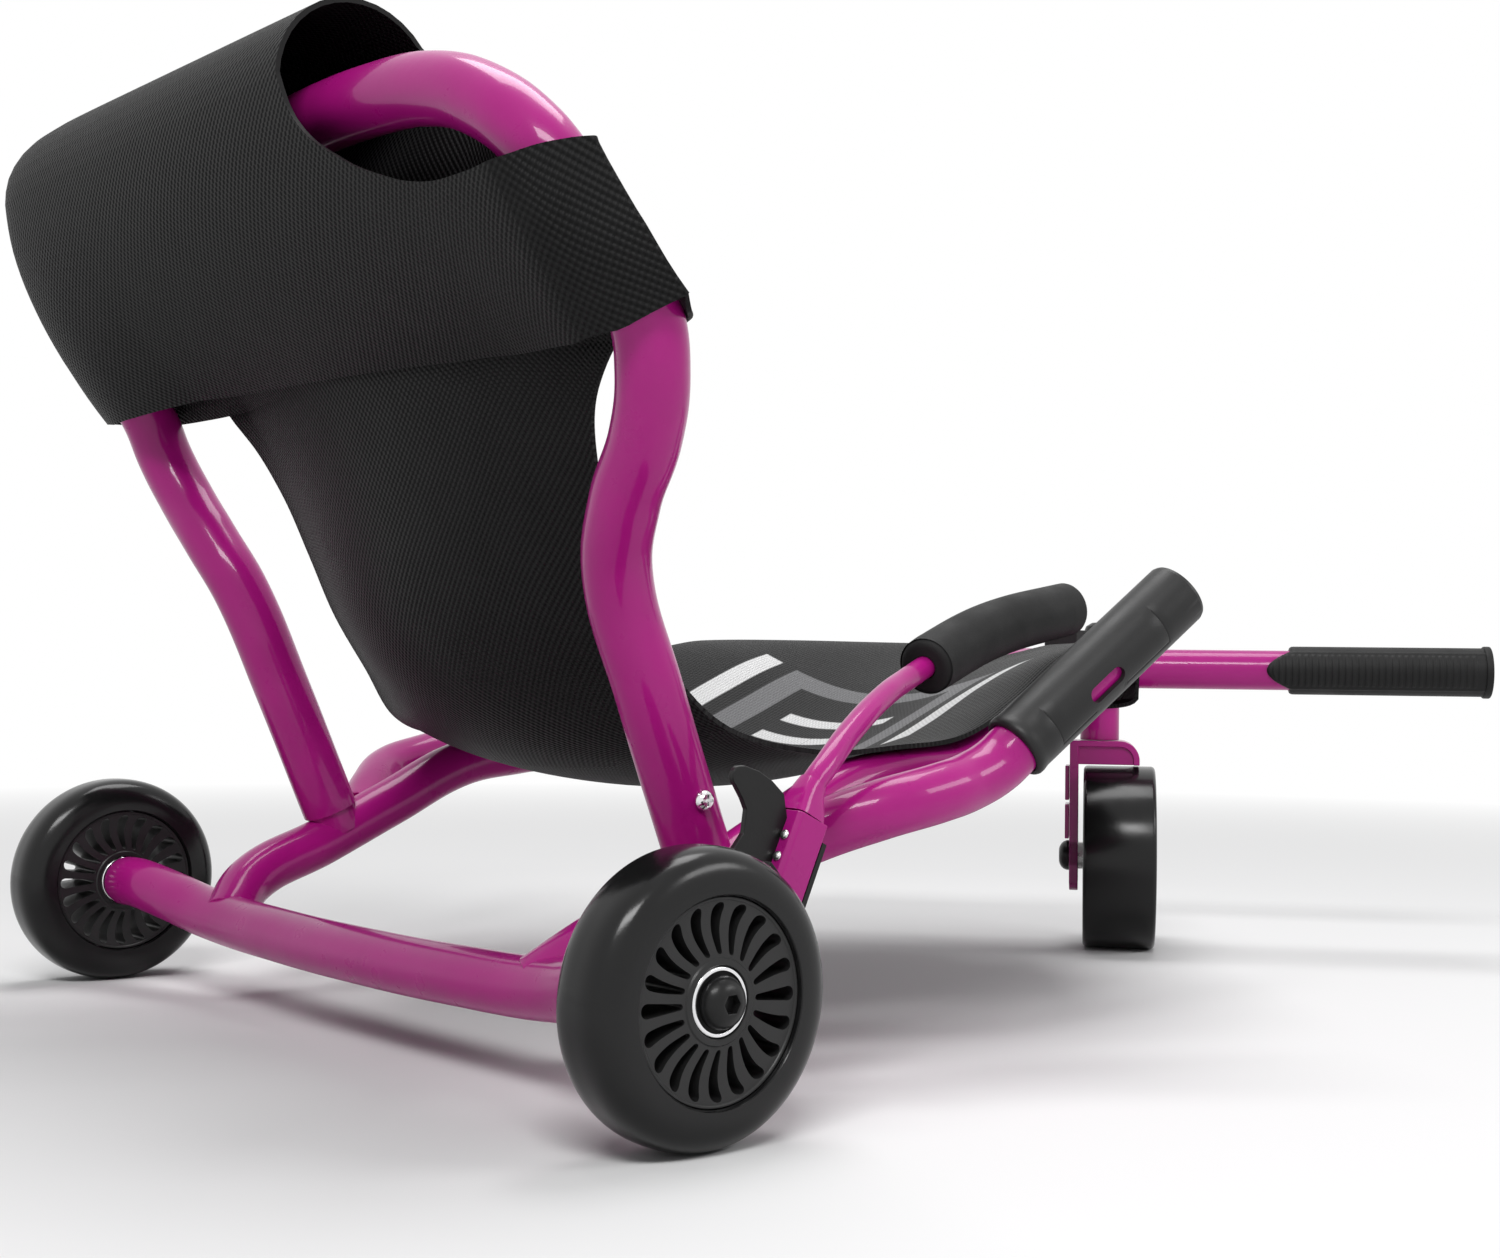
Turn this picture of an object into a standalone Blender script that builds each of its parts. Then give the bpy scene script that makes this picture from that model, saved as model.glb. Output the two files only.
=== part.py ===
"""A ride-on drifter: a bent tube frame on two rear wheels, with a fabric sling seat, a
hand brake, and a front wheel that the rider steers with both feet on a bar.

A route is a list of (ahead, left, up): metres ahead of the rear axle, metres to the
rider's left of the centre line, and metres above the floor. The object faces -Y.
"""
import math

import bmesh
import bpy
from mathutils import Matrix, Vector

# Overall sizes
REAR_AXLE_Y = 0.34660
REAR_TRACK = 0.550
WHEELBASE = 0.600
GAP = 0.0003

# Rear wheels
REAR_WHEEL_RADIUS = 0.060
REAR_TYRE_WIDTH = 0.036
REAR_HUB_RADIUS = 0.041
REAR_HUB_WIDTH = 0.032
REAR_WEB_WIDTH = 0.030
REAR_TYRE_FULLNESS = 2.6
SLOT_COUNT = 20
SLOT_START = 0.0188
SLOT_END = 0.0385
SLOT_WIDTH_INNER = 0.0026
SLOT_WIDTH_OUTER = 0.0058
SLOT_BULGE = math.radians(5.5)

# Front wheel and fork
FRONT_WHEEL_RADIUS = 0.0635
FRONT_WHEEL_WIDTH = 0.0492
FRONT_TREAD_CORNER = 0.005
FRONT_HUB_RADIUS = 0.044
FRONT_WHEEL_OFFSET = -0.0138
FRONT_NUT_RECESS = 0.0115
FRONT_NUT_HEIGHT = 0.007
FRONT_BOLT_TIP = 0.003
FORK_PLATE = 0.0042
FORK_DEPTH = 0.038
FORK_LEG_OUTER = 0.0204
FORK_CROWN_TOP = 0.1450
FORK_LEG_BOTTOM = 0.039

# Bearings and axles
BEARING_RADIUS = 0.014
BEARING_WIDTH = 0.008
AXLE_RADIUS = 0.006
AXLE_HEAD_RADIUS = 0.0105
AXLE_HEAD_HEIGHT = 0.007
SOCKET_RADIUS = 0.0038
SOCKET_DEPTH = 0.004

# Tubes
FRAME_TUBE_RADIUS = 0.0143
BACK_TUBE_RADIUS = 0.0159
BACK_TUBE_WALL = 0.0016
BACK_BOLT_HEIGHT = 0.130
BACK_BOLT_RADIUS = 0.003
BACK_BOLT_HEAD = 0.0048
BACK_BOLT_SLOT = 0.0033
BACK_BOLT_SLOT_HALF = 0.0006

# Steering head
STEER_ANGLE = math.radians(38.5)
POST_RADIUS = 0.0135
BAR_RADIUS = 0.01375
BAR_HEIGHT = 0.1956
BAR_HALF_LENGTH = 0.259
HEAD_HALF_WIDTH = 0.020
HEAD_WEB_HALF = 0.0143
HEAD_WEB_BACK = 0.044
HEAD_WEB_FRONT = 0.034
HEAD_PLATE_LOWER = 0.0072
HEAD_PLATE_UPPER = 0.0110
HEAD_CLEARANCE = 0.0011
BUSH_WALL = 0.0022
PIVOT_RADIUS = 0.005

# Foot grips
GRIP_START = 0.129
GRIP_POINT = 0.113
GRIP_RADIUS = 0.01715
GRIP_FLANGE_RADIUS = 0.0178
GRIP_FLANGE = 0.0025

# Hand sleeves
SLEEVE_RADIUS = 0.01725
SLEEVE_LENGTH = 0.127
SLEEVE_END_WALL = 0.004

# Hand brake, on the rider's right
RAIL_LEFT = 0.171
BRAKE_PIN = (0.077, -0.231, 0.085)
BRAKE_PIN_RADIUS = 0.003
BRAKE_PIN_DEPTH = 0.026
CHANNEL_WIDTH = 0.020
CHANNEL_FRONT = 0.010
CHANNEL_BACK = 0.008
CHANNEL_WALL = 0.0025
CHANNEL_BELOW = 0.010
CHANNEL_ABOVE = 0.044
CHANNEL_LEAN = math.radians(25)
BRAKE_PLATE = 0.003
BRAKE_ROD_RADIUS = 0.0058
FOAM_RADIUS = 0.0150
SHOE_RADIUS = 0.0655
SHOE_THICKNESS = 0.004
SHOE_FROM = 24
SHOE_TO = 46
SHOE_REACH = 0.266
RIVET_COUNT = 3
RIVET_SIDE = -0.0050
RIVET_RADIUS = 0.0012
RIVET_HEAD = 0.0023
SPRING_WIRE = 0.0007
SPRING_TURNS = 3

# Sling seat
CLOTH = 0.0024
BAG_HALF_WIDTH = 0.2580
BAG_BOTTOM = 0.335
BAG_ROLL_CENTRE = 0.4545
BAG_BACK_BOTTOM = 0.026
BAG_BACK_TOP = 0.0345
BAG_FRONT_BOTTOM = 0.0245
BAG_SAG = 0.0240
BAG_HEM_GAP = 0.0045
BAG_FRONT_TOP = 0.0485
BAG_START = 0.001
BAG_LEAN = 0.049
BAG_LEAN_POWER = 2.2


def new_collection(name):
    collection = bpy.data.collections.new(name)
    bpy.context.scene.collection.children.link(collection)
    return collection


def material(name, color, roughness, metallic=0.0):
    """Principled material; the colour is linear RGB."""
    result = bpy.data.materials.new(name)
    result.use_nodes = True
    shader = result.node_tree.nodes["Principled BSDF"]
    shader.inputs["Base Color"].default_value = (*color, 1.0)
    shader.inputs["Roughness"].default_value = roughness
    shader.inputs["Metallic"].default_value = metallic
    return result


def spot(ahead, left, up):
    """World point from distances ahead of the rear axle, to the left, and up."""
    return Vector((left, REAR_AXLE_Y - ahead, up))


def mirrored(route):
    return [(ahead, -left, up) for ahead, left, up in route]


def empty(name, position, rotation=(0, 0, 0)):
    """Guide that a moving group hangs on."""
    guide = bpy.data.objects.new(name, None)
    guide.location = position
    guide.rotation_euler = rotation
    PARTS.objects.link(guide)
    bpy.context.view_layer.update()
    return guide


def add_object(name, data, look=None, parent=None, cutter=False):
    """Link data as a named part, or as a cutter that the build leaves out."""
    result = bpy.data.objects.new(name, data)
    if cutter:
        CUTTERS.objects.link(result)
        result.hide_render = True
        result.display_type = "WIRE"
    else:
        PARTS.objects.link(result)
        data.materials.append(look)
    if parent is not None:
        result.parent = parent
    return result


def mesh_from(work, name):
    mesh = bpy.data.meshes.new(name)
    bmesh.ops.recalc_face_normals(work, faces=work.faces)
    work.to_mesh(mesh)
    work.free()
    return mesh


def turned(name, profile, look=None, sides=32, parent=None, cutter=False, closed=True):
    """Revolve (radius, height) points about local Z: down the outer side first."""
    work = bmesh.new()
    corners = [work.verts.new((radius, 0, height)) for radius, height in profile]
    for first, second in zip(corners, corners[1:]):
        work.edges.new((first, second))
    if closed:
        work.edges.new((corners[-1], corners[0]))
    mesh = bpy.data.meshes.new(name)
    work.to_mesh(mesh)
    work.free()
    result = add_object(name, mesh, look, parent, cutter)
    screw = result.modifiers.new("turn", "SCREW")
    screw.steps = sides
    screw.render_steps = sides
    screw.use_merge_vertices = True
    screw.merge_threshold = 0.00001
    screw.use_smooth_shade = True
    return result


def ring_profile(inner, outer, bottom, top):
    return [(outer, top), (outer, bottom), (inner, bottom), (inner, top)]


def box(name, low, high, look=None, parent=None, cutter=False):
    """Axis-aligned block between two corners, in the parent's frame."""
    low = Vector(low)
    high = Vector(high)
    work = bmesh.new()
    bmesh.ops.create_cube(work, size=1)
    bmesh.ops.scale(work, vec=high - low, verts=work.verts)
    bmesh.ops.translate(work, vec=(low + high) / 2, verts=work.verts)
    return add_object(name, mesh_from(work, name), look, parent, cutter)


def rod(name, start, end, radius, look=None, sides=24, parent=None, cutter=False):
    """Straight cylinder between two points, in the parent's frame."""
    start = Vector(start)
    end = Vector(end)
    work = bmesh.new()
    bmesh.ops.create_cone(
        work, cap_ends=True, segments=sides, radius1=radius, radius2=radius,
        depth=(end - start).length)
    turn = (end - start).to_track_quat("Z", "Y").to_matrix().to_4x4()
    bmesh.ops.transform(work, matrix=Matrix.Translation((start + end) / 2) @ turn, verts=work.verts)
    return add_object(name, mesh_from(work, name), look, parent, cutter)


def plate(name, outline, thickness, look=None, parent=None, cutter=False):
    """Flat outline in local XY, extruded to both sides of the plane."""
    curve = bpy.data.curves.new(name, "CURVE")
    curve.dimensions = "2D"
    curve.fill_mode = "BOTH"
    curve.extrude = thickness / 2
    spline = curve.splines.new("POLY")
    spline.points.add(len(outline) - 1)
    for point, (x, y) in zip(spline.points, outline):
        point.co = (x, y, 0, 1)
    spline.use_cyclic_u = True
    return as_mesh(add_object(name, curve, look, parent, cutter))


def bent_tube(name, route, radius, look=None, sides=12, steps=3, cutter=False):
    """Round tube along a smooth curve through the route's points."""
    curve = bpy.data.curves.new(name, "CURVE")
    curve.dimensions = "3D"
    curve.bevel_depth = radius
    curve.bevel_resolution = sides // 2 - 2
    curve.resolution_u = steps
    curve.use_fill_caps = True
    spline = curve.splines.new("BEZIER")
    spline.bezier_points.add(len(route) - 1)
    for point, place in zip(spline.bezier_points, route):
        point.co = spot(*place)
        point.handle_left_type = "AUTO"
        point.handle_right_type = "AUTO"
    return as_mesh(add_object(name, curve, look, None, cutter))


def as_mesh(source):
    """Replace a curve object with its welded mesh, under the same name."""
    bpy.context.view_layer.update()
    graph = bpy.context.evaluated_depsgraph_get()
    mesh = bpy.data.meshes.new_from_object(source.evaluated_get(graph))
    work = bmesh.new()
    work.from_mesh(mesh)
    bmesh.ops.remove_doubles(work, verts=work.verts, dist=0.00001)
    bmesh.ops.recalc_face_normals(work, faces=work.faces)
    work.to_mesh(mesh)
    work.free()
    name = source.name
    cutter = source.hide_render
    parent = source.parent
    basis = source.matrix_basis.copy()
    bpy.data.objects.remove(source)
    mesh.name = name
    result = bpy.data.objects.new(name, mesh)
    (CUTTERS if cutter else PARTS).objects.link(result)
    result.hide_render = cutter
    result.display_type = "WIRE" if cutter else "TEXTURED"
    result.parent = parent
    result.matrix_basis = basis
    return result


def boolean(target, tool, operation="DIFFERENCE"):
    step = target.modifiers.new(tool.name, "BOOLEAN")
    step.operation = operation
    step.solver = "EXACT"
    step.object = tool
    return target


def round_edges(target, width, segments=2, angle=40):
    step = target.modifiers.new("edges", "BEVEL")
    step.width = width
    step.segments = segments
    step.limit_method = "ANGLE"
    step.angle_limit = math.radians(angle)
    return target


def arc(centre, radius, start, end, count):
    """Points on an arc from one angle to another, in degrees."""
    angles = [math.radians(start + (end - start) * k / (count - 1)) for k in range(count)]
    return [(centre[0] + radius * math.cos(a), centre[1] + radius * math.sin(a)) for a in angles]


def full_arc(start, radius, fullness, count):
    """Half section of a tyre, squarer than a circle when the fullness is above 2."""
    points = []
    for x, y in arc((0, 0), 1, 90, -90, count):
        size = (abs(x) ** fullness + abs(y) ** fullness) ** (1 / fullness)
        points.append((start + radius * x / size, radius * y / size))
    return points


def wheel_bearing(name, bottom, parent):
    """Ball bearing with a shallow step between its two races."""
    top = bottom + BEARING_WIDTH
    inner = AXLE_RADIUS + GAP
    profile = ring_profile(inner, BEARING_RADIUS, bottom, top)
    return turned(name, profile, CHROME, sides=16, parent=parent)


def axle_bolt(name, head_bottom, shank_end, parent):
    """Domed bolt with a hex socket; its shank runs down local Z."""
    head_top = head_bottom + AXLE_HEAD_HEIGHT
    profile = [
        (0, head_top), (AXLE_HEAD_RADIUS * 0.55, head_top - 0.0004),
        (AXLE_HEAD_RADIUS * 0.85, head_top - 0.0022), (AXLE_HEAD_RADIUS, head_bottom + 0.0015),
        (AXLE_HEAD_RADIUS, head_bottom), (AXLE_RADIUS, head_bottom), (AXLE_RADIUS, shank_end),
        (0, shank_end)]
    result = turned(name, profile, BLACK_STEEL, sides=20, parent=parent, closed=False)
    socket = rod(
        name + "_socket", (0, 0, head_top - SOCKET_DEPTH), (0, 0, head_top + 0.002),
        SOCKET_RADIUS, sides=6, parent=parent, cutter=True)
    return boolean(result, socket)


def slot_outline(turn):
    """One slot, narrow near the hub, wide and round at the rim, bowed most at the top."""
    stations = 4
    left = []
    right = []
    for k in range(stations):
        share = k / (stations - 1)
        radius = SLOT_START + (SLOT_END - SLOT_WIDTH_OUTER / 2 - SLOT_START) * share
        angle = turn + SLOT_BULGE * math.cos(turn) * 4 * share * (1 - share)
        half = (SLOT_WIDTH_INNER + (SLOT_WIDTH_OUTER - SLOT_WIDTH_INNER) * share) / 2 / radius
        left.append((radius * math.cos(angle + half), radius * math.sin(angle + half)))
        right.append((radius * math.cos(angle - half), radius * math.sin(angle - half)))
    centre_radius = SLOT_END - SLOT_WIDTH_OUTER / 2
    centre = (centre_radius * math.cos(turn), centre_radius * math.sin(turn))
    tip = arc(centre, SLOT_WIDTH_OUTER / 2, math.degrees(turn) - 90, math.degrees(turn) + 90, 4)
    return right[:-1] + tip + left[-2::-1]


def slotted_hub(name, parent):
    """Rear hub: rim, bearing boss and a web cut by curved slots."""
    half = REAR_HUB_WIDTH / 2
    web = REAR_WEB_WIDTH / 2
    boss = BEARING_RADIUS + 0.0032
    rim = SLOT_END + 0.001
    seat = BEARING_RADIUS + GAP
    shoulder = half - BEARING_WIDTH - 0.0005
    bore = BEARING_RADIUS - 0.003
    profile = [
        (boss, half), (boss + 0.0005, web), (rim, web), (rim + 0.0005, web + 0.002),
        (REAR_HUB_RADIUS, web + 0.002), (REAR_HUB_RADIUS, -web - 0.002), (rim + 0.0005, -web - 0.002),
        (rim, -web), (boss + 0.0005, -web), (boss, -half), (seat, -half), (seat, -shoulder),
        (bore, -shoulder), (bore, shoulder), (seat, shoulder), (seat, half)]
    hub = turned(name, profile, HUB_BLACK, sides=30, parent=parent)
    work = bmesh.new()
    for k in range(SLOT_COUNT):
        outline = slot_outline(2 * math.pi * k / SLOT_COUNT)
        floor = [work.verts.new((x, y, -REAR_HUB_WIDTH)) for x, y in outline]
        face = work.faces.new(floor)
        wall = bmesh.ops.extrude_face_region(work, geom=[face])
        raised = [item for item in wall["geom"] if isinstance(item, bmesh.types.BMVert)]
        bmesh.ops.translate(work, vec=(0, 0, 2 * REAR_HUB_WIDTH), verts=raised)
    slots = add_object(name + "_slots", mesh_from(work, name + "_slots"), None, parent, cutter=True)
    return boolean(hub, slots)


def rear_wheel(side, sign):
    """Wheel pieces on one end of the crossbar; local Z points outward."""
    centre = spot(0, sign * REAR_TRACK / 2, REAR_WHEEL_RADIUS)
    guide = empty("rear_axle_" + side, centre, (0, sign * math.pi / 2, 0))
    half_tyre = REAR_TYRE_WIDTH / 2
    shoulder = REAR_WHEEL_RADIUS - half_tyre
    inner = REAR_HUB_RADIUS + GAP
    tread = full_arc(shoulder, half_tyre, REAR_TYRE_FULLNESS, 9)
    flank = [(inner, -half_tyre + 0.001), (inner, half_tyre - 0.001)]
    turned("rear_tyre_" + side, tread + flank, TYRE, sides=32, parent=guide)
    slotted_hub("rear_hub_" + side, guide)
    half = REAR_HUB_WIDTH / 2
    wheel_bearing("rear_bearing_outer_" + side, half - BEARING_WIDTH, guide)
    wheel_bearing("rear_bearing_inner_" + side, -half, guide)
    sleeve = half - BEARING_WIDTH - GAP
    inner_radius = AXLE_RADIUS + GAP
    turned(
        "rear_spacer_" + side, ring_profile(inner_radius, inner_radius + 0.002, -sleeve, sleeve),
        STEEL, sides=16, parent=guide)
    axle_bolt("rear_axle_bolt_" + side, half + GAP, -half - 0.028, guide)
    washer_top = -half - GAP
    washer_bottom = AXLE_END - REAR_TRACK / 2 + GAP
    turned(
        "rear_washer_" + side, ring_profile(inner_radius, 0.0095, washer_bottom, washer_top),
        STEEL, sides=16, parent=guide)


def build_crossbar():
    """Bowed rear tube with a blind axle hole in each end."""
    half = [
        (0.000, AXLE_END, 0.0600), (0.000, 0.238, 0.0600), (0.006, 0.205, 0.0545),
        (0.012, 0.170, 0.0480), (0.0125, 0.085, 0.0442)]
    middle = [(0.0115, 0.0, 0.0435)]
    route = half + middle + mirrored(half)[::-1]
    bar = bent_tube("rear_crossbar", route, FRAME_TUBE_RADIUS, PAINT, steps=2)
    for side, sign in SIDES:
        depth = 0.034
        hole = rod(
            "axle_hole_" + side, spot(0, sign * (AXLE_END - depth), REAR_WHEEL_RADIUS),
            spot(0, sign * (AXLE_END + 0.01), REAR_WHEEL_RADIUS), AXLE_RADIUS + GAP,
            sides=20, cutter=True)
        boolean(bar, hole)
    bent_tube("crossbar_clearance", route, FRAME_TUBE_RADIUS + GAP, steps=2, cutter=True)
    return bar


def build_rails():
    """Side rails: from the crossbar, up under the seat, and in to the centre tube."""
    left = [
        (0.013, 0.150, 0.0475), (0.035, 0.166, 0.066), (0.084, 0.171, 0.0860),
        (0.129, 0.171, 0.1070), (0.180, 0.171, 0.1300), (0.225, 0.171, 0.1370),
        (0.270, 0.173, 0.1420), (0.320, 0.180, 0.1720), (0.356, 0.1805, 0.1900), (0.392, 0.168, 0.1950),
        (0.430, 0.1365, 0.1955), (0.470, 0.0895, 0.1940), (0.522, 0.012, 0.1915)]
    for side, sign in SIDES:
        route = left if sign > 0 else mirrored(left)
        rail = bent_tube("side_rail_" + side, route, FRAME_TUBE_RADIUS, PAINT, steps=2)
        boolean(rail, bpy.data.objects["crossbar_clearance"])
        boolean(rail, bpy.data.objects["centre_clearance"])
        bent_tube("rail_clearance_" + side, route, FRAME_TUBE_RADIUS + GAP, steps=2, cutter=True)


def build_centre_tube():
    """Tube that rises through the seat's front notch and carries the head."""
    end = WHEELBASE - HEAD_WEB_BACK - 2 * GAP
    route = [(0.494, 0, 0.1895), (0.515, 0, 0.1928), (0.536, 0, 0.1935), (end, 0, 0.1935)]
    bent_tube("centre_tube", route, FRAME_TUBE_RADIUS, PAINT, steps=3)
    bent_tube("centre_clearance", route, FRAME_TUBE_RADIUS + GAP, steps=3, cutter=True)


def build_back():
    """Back tube loop over two stubs, each held by a cross-slot bolt."""
    leg = [
        (0.0880, 0.171, 0.1042), (0.0560, 0.1740, 0.178), (0.0325, 0.179, 0.232),
        (0.022, 0.1974, 0.262), (0.016, 0.219, 0.288),
        (0.0085, 0.2325, 0.3125), (0.000, 0.2375, 0.336), (-0.013, 0.2370, 0.354),
        (-0.027, 0.2325, 0.3725), (-0.037, 0.2265, 0.391), (-0.0425, 0.213, 0.4075),
        (-0.046, 0.188, 0.4245), (-0.0475, 0.155, 0.437), (-0.048, 0.100, 0.4440)]
    route = leg + [(-0.048, 0.0, 0.4445)] + mirrored(leg)[::-1]
    tube = bent_tube("back_tube", route, BACK_TUBE_RADIUS, PAINT, sides=12, steps=2)
    foot = Vector(leg[0])
    rise = (Vector(leg[1]) - foot).normalized()
    bore_radius = BACK_TUBE_RADIUS - BACK_TUBE_WALL
    stub_low = foot - rise * 0.0135
    stub_high = foot + rise * 0.042
    for side, sign in SIDES:
        turn = Vector((1, sign, 1))
        bore = rod(
            "back_bore_" + side, spot(*((foot - rise * 0.01) * turn)),
            spot(*((stub_high + rise * 0.002) * turn)), bore_radius, sides=20, cutter=True)
        boolean(tube, bore)
        stub = rod(
            "back_stub_" + side, spot(*(stub_low * turn)), spot(*(stub_high * turn)),
            bore_radius - GAP, PAINT, sides=20)
        boolean(stub, bpy.data.objects["rail_clearance_" + side])
        middle = foot + rise * (BACK_BOLT_HEIGHT - foot.z) / rise.z
        face = BACK_TUBE_RADIUS * 0.985 + GAP
        bolt_hole = rod(
            "back_bolt_hole_" + side, spot(middle.x, sign * middle.y, middle.z),
            spot(middle.x, sign * (middle.y + 0.03), middle.z), BACK_BOLT_RADIUS + GAP,
            sides=12, cutter=True)
        boolean(tube, bolt_hole)
        boolean(stub, bolt_hole)
        guide = empty(
            "back_bolt_axis_" + side, spot(middle.x, sign * middle.y, middle.z),
            (0, sign * math.pi / 2, 0))
        head = face + 0.0035
        profile = [
            (0, head), (BACK_BOLT_HEAD * 0.6, head - 0.0006), (BACK_BOLT_HEAD, face + 0.0008),
            (BACK_BOLT_HEAD, face), (BACK_BOLT_RADIUS, face), (BACK_BOLT_RADIUS, 0.006), (0, 0.006)]
        bolt = turned("back_bolt_" + side, profile, CHROME, sides=16, parent=guide, closed=False)
        for k in range(2):
            wide, deep = (BACK_BOLT_SLOT, BACK_BOLT_SLOT_HALF)[::1 - 2 * k]
            cross = box(
                "back_bolt_slot_" + str(k) + "_" + side, (-wide, -deep, head - 0.0014),
                (wide, deep, head + 0.001), parent=guide, cutter=True)
            boolean(bolt, cross)


def build_handles():
    """Bent hand tubes beside the seat, each with a slotted sleeve."""
    mouth = Vector((0.238, 0.233, 0.1525))
    end = Vector((0.333, 0.262, 0.2335))
    aim = (end - mouth).normalized()
    tube_end = mouth + aim * (SLEEVE_LENGTH - SLEEVE_END_WALL - 0.001)
    left = [
        (0.1135, 0.180, 0.1005), (0.135, 0.202, 0.1145), (0.158, 0.2215, 0.1250),
        (0.188, 0.229, 0.1320), (0.212, 0.2288, 0.1374), tuple(mouth - aim * 0.012), tuple(mouth),
        tuple(tube_end)]
    for side, sign in SIDES:
        route = left if sign > 0 else mirrored(left)
        handle = bent_tube("handle_tube_" + side, route, FRAME_TUBE_RADIUS, PAINT, steps=2)
        boolean(handle, bpy.data.objects["rail_clearance_" + side])
        turn = Vector((1, sign, 1))
        direction = spot(*(end * turn)) - spot(*(mouth * turn))
        guide = empty("sleeve_axis_" + side, spot(*(mouth * turn)))
        guide.rotation_euler = direction.to_track_quat("Z", "Y").to_euler()
        bpy.context.view_layer.update()
        bore = FRAME_TUBE_RADIUS + 2 * GAP
        profile = [
            (0, SLEEVE_LENGTH), (SLEEVE_RADIUS - 0.002, SLEEVE_LENGTH),
            (SLEEVE_RADIUS, SLEEVE_LENGTH - 0.002), (SLEEVE_RADIUS, 0.004),
            (SLEEVE_RADIUS - 0.0004, 0.001), (SLEEVE_RADIUS - 0.0012, 0), (bore, 0),
            (bore, SLEEVE_LENGTH - SLEEVE_END_WALL), (0, SLEEVE_LENGTH - SLEEVE_END_WALL)]
        sleeve = turned(
            "handle_sleeve_" + side, profile, SLEEVE_BLACK, sides=24, parent=guide, closed=False)
        slot = box(
            "sleeve_slot_" + side, (-0.0045, 0.006, 0.030), (0.0045, 0.03, 0.064), parent=guide,
            cutter=True)
        slot.rotation_euler = (0, 0, sign * SLEEVE_SLOT_TURN)
        boolean(sleeve, slot)


def build_head():
    """Black yoke whose two plates hold the steering post above and below the foot bar."""
    low = BAR_HEIGHT - BAR_RADIUS - HEAD_CLEARANCE - HEAD_PLATE_LOWER
    high = BAR_HEIGHT + BAR_RADIUS + HEAD_CLEARANCE + HEAD_PLATE_UPPER
    nose = arc((0, 0), HEAD_HALF_WIDTH, 180, 360, 13)
    waist = [(HEAD_HALF_WIDTH, 0.008), (HEAD_WEB_HALF, HEAD_WEB_FRONT - 0.008)]
    waist.append((HEAD_WEB_HALF, HEAD_WEB_BACK))
    outline = nose + waist + [(-x, y) for x, y in waist[::-1]]
    guide = empty("head_axis", spot(WHEELBASE, 0, 0))
    yoke = plate("head_yoke", outline, high - low, HEAD_BLACK, guide)
    yoke.location = (0, 0, (low + high) / 2)
    reach = HEAD_HALF_WIDTH + 0.02
    window = box(
        "head_window", (-reach, -reach, low + HEAD_PLATE_LOWER),
        (reach, HEAD_WEB_FRONT, high - HEAD_PLATE_UPPER), parent=guide, cutter=True)
    boolean(yoke, window)
    lower_bore = POST_RADIUS + BUSH_WALL + 2 * GAP
    upper_bore = PIVOT_RADIUS + BUSH_WALL + 2 * GAP
    lower_cut = rod(
        "head_bore_lower", (0, 0, low - 0.01), (0, 0, low + HEAD_PLATE_LOWER + 0.002), lower_bore,
        parent=guide, cutter=True)
    upper_cut = rod(
        "head_bore_upper", (0, 0, high - HEAD_PLATE_UPPER - 0.002), (0, 0, high + 0.01), upper_bore,
        parent=guide, cutter=True)
    boolean(yoke, lower_cut)
    boolean(yoke, upper_cut)
    turned(
        "head_bush_lower", ring_profile(POST_RADIUS + 2 * GAP, lower_bore - GAP, low,
        low + HEAD_PLATE_LOWER - GAP), BRONZE, sides=24, parent=guide)
    turned(
        "head_bush_upper", ring_profile(PIVOT_RADIUS + 2 * GAP, upper_bore - GAP,
        high - HEAD_PLATE_UPPER + GAP, high), BRONZE, sides=20, parent=guide)
    return high


def fork_outline():
    """Bent strip seen from behind: leg on the left, crown, and rounded right lip."""
    outer = FORK_LEG_OUTER
    inner = outer - FORK_PLATE
    top = FORK_CROWN_TOP
    lip = -0.0275
    radius = 0.0135
    outer_arc = arc((lip + radius, top - radius), radius, 180, 90, 6)
    inner_arc = arc((lip + radius, top - radius), radius - FORK_PLATE, 90, 180, 5)
    lip_end = FRONT_WHEEL_RADIUS * 2 + 0.0012
    return (
        [(outer, FORK_LEG_BOTTOM + 0.006), (outer, top)] + outer_arc[::-1]
        + [(lip, lip_end), (lip + FORK_PLATE, lip_end)] + inner_arc[::-1]
        + [(inner, top - FORK_PLATE), (inner, FORK_LEG_BOTTOM + 0.006)])


def build_fork(guide):
    """Single-sided fork: bent strip and a recessed web under the crown."""
    upright = empty("fork_plane", (0, 0, 0), (math.pi / 2, 0, 0))
    upright.parent = guide
    bpy.context.view_layer.update()
    fork = plate("fork", fork_outline(), FORK_DEPTH, PAINT, upright)
    web = box(
        "fork_web", (-0.0255, -0.0015, FRONT_WHEEL_RADIUS * 2 + 0.0014), (FORK_LEG_OUTER - 0.001, 0.0015,
        FORK_CROWN_TOP - 0.001), parent=guide, cutter=True)
    boolean(fork, web, "UNION")
    axle_hole = rod(
        "fork_axle_hole", (0, 0, FRONT_WHEEL_RADIUS), (0.04, 0, FRONT_WHEEL_RADIUS),
        AXLE_RADIUS + GAP, sides=20, parent=guide, cutter=True)
    boolean(fork, axle_hole)
    doubler = box(
        "fork_plate", (FORK_LEG_OUTER + GAP, -0.012, 0.0760), (FORK_LEG_OUTER + 0.0032, 0.012, 0.1270),
        PAINT, guide)
    round_edges(doubler, 0.0008, 1)


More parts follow.
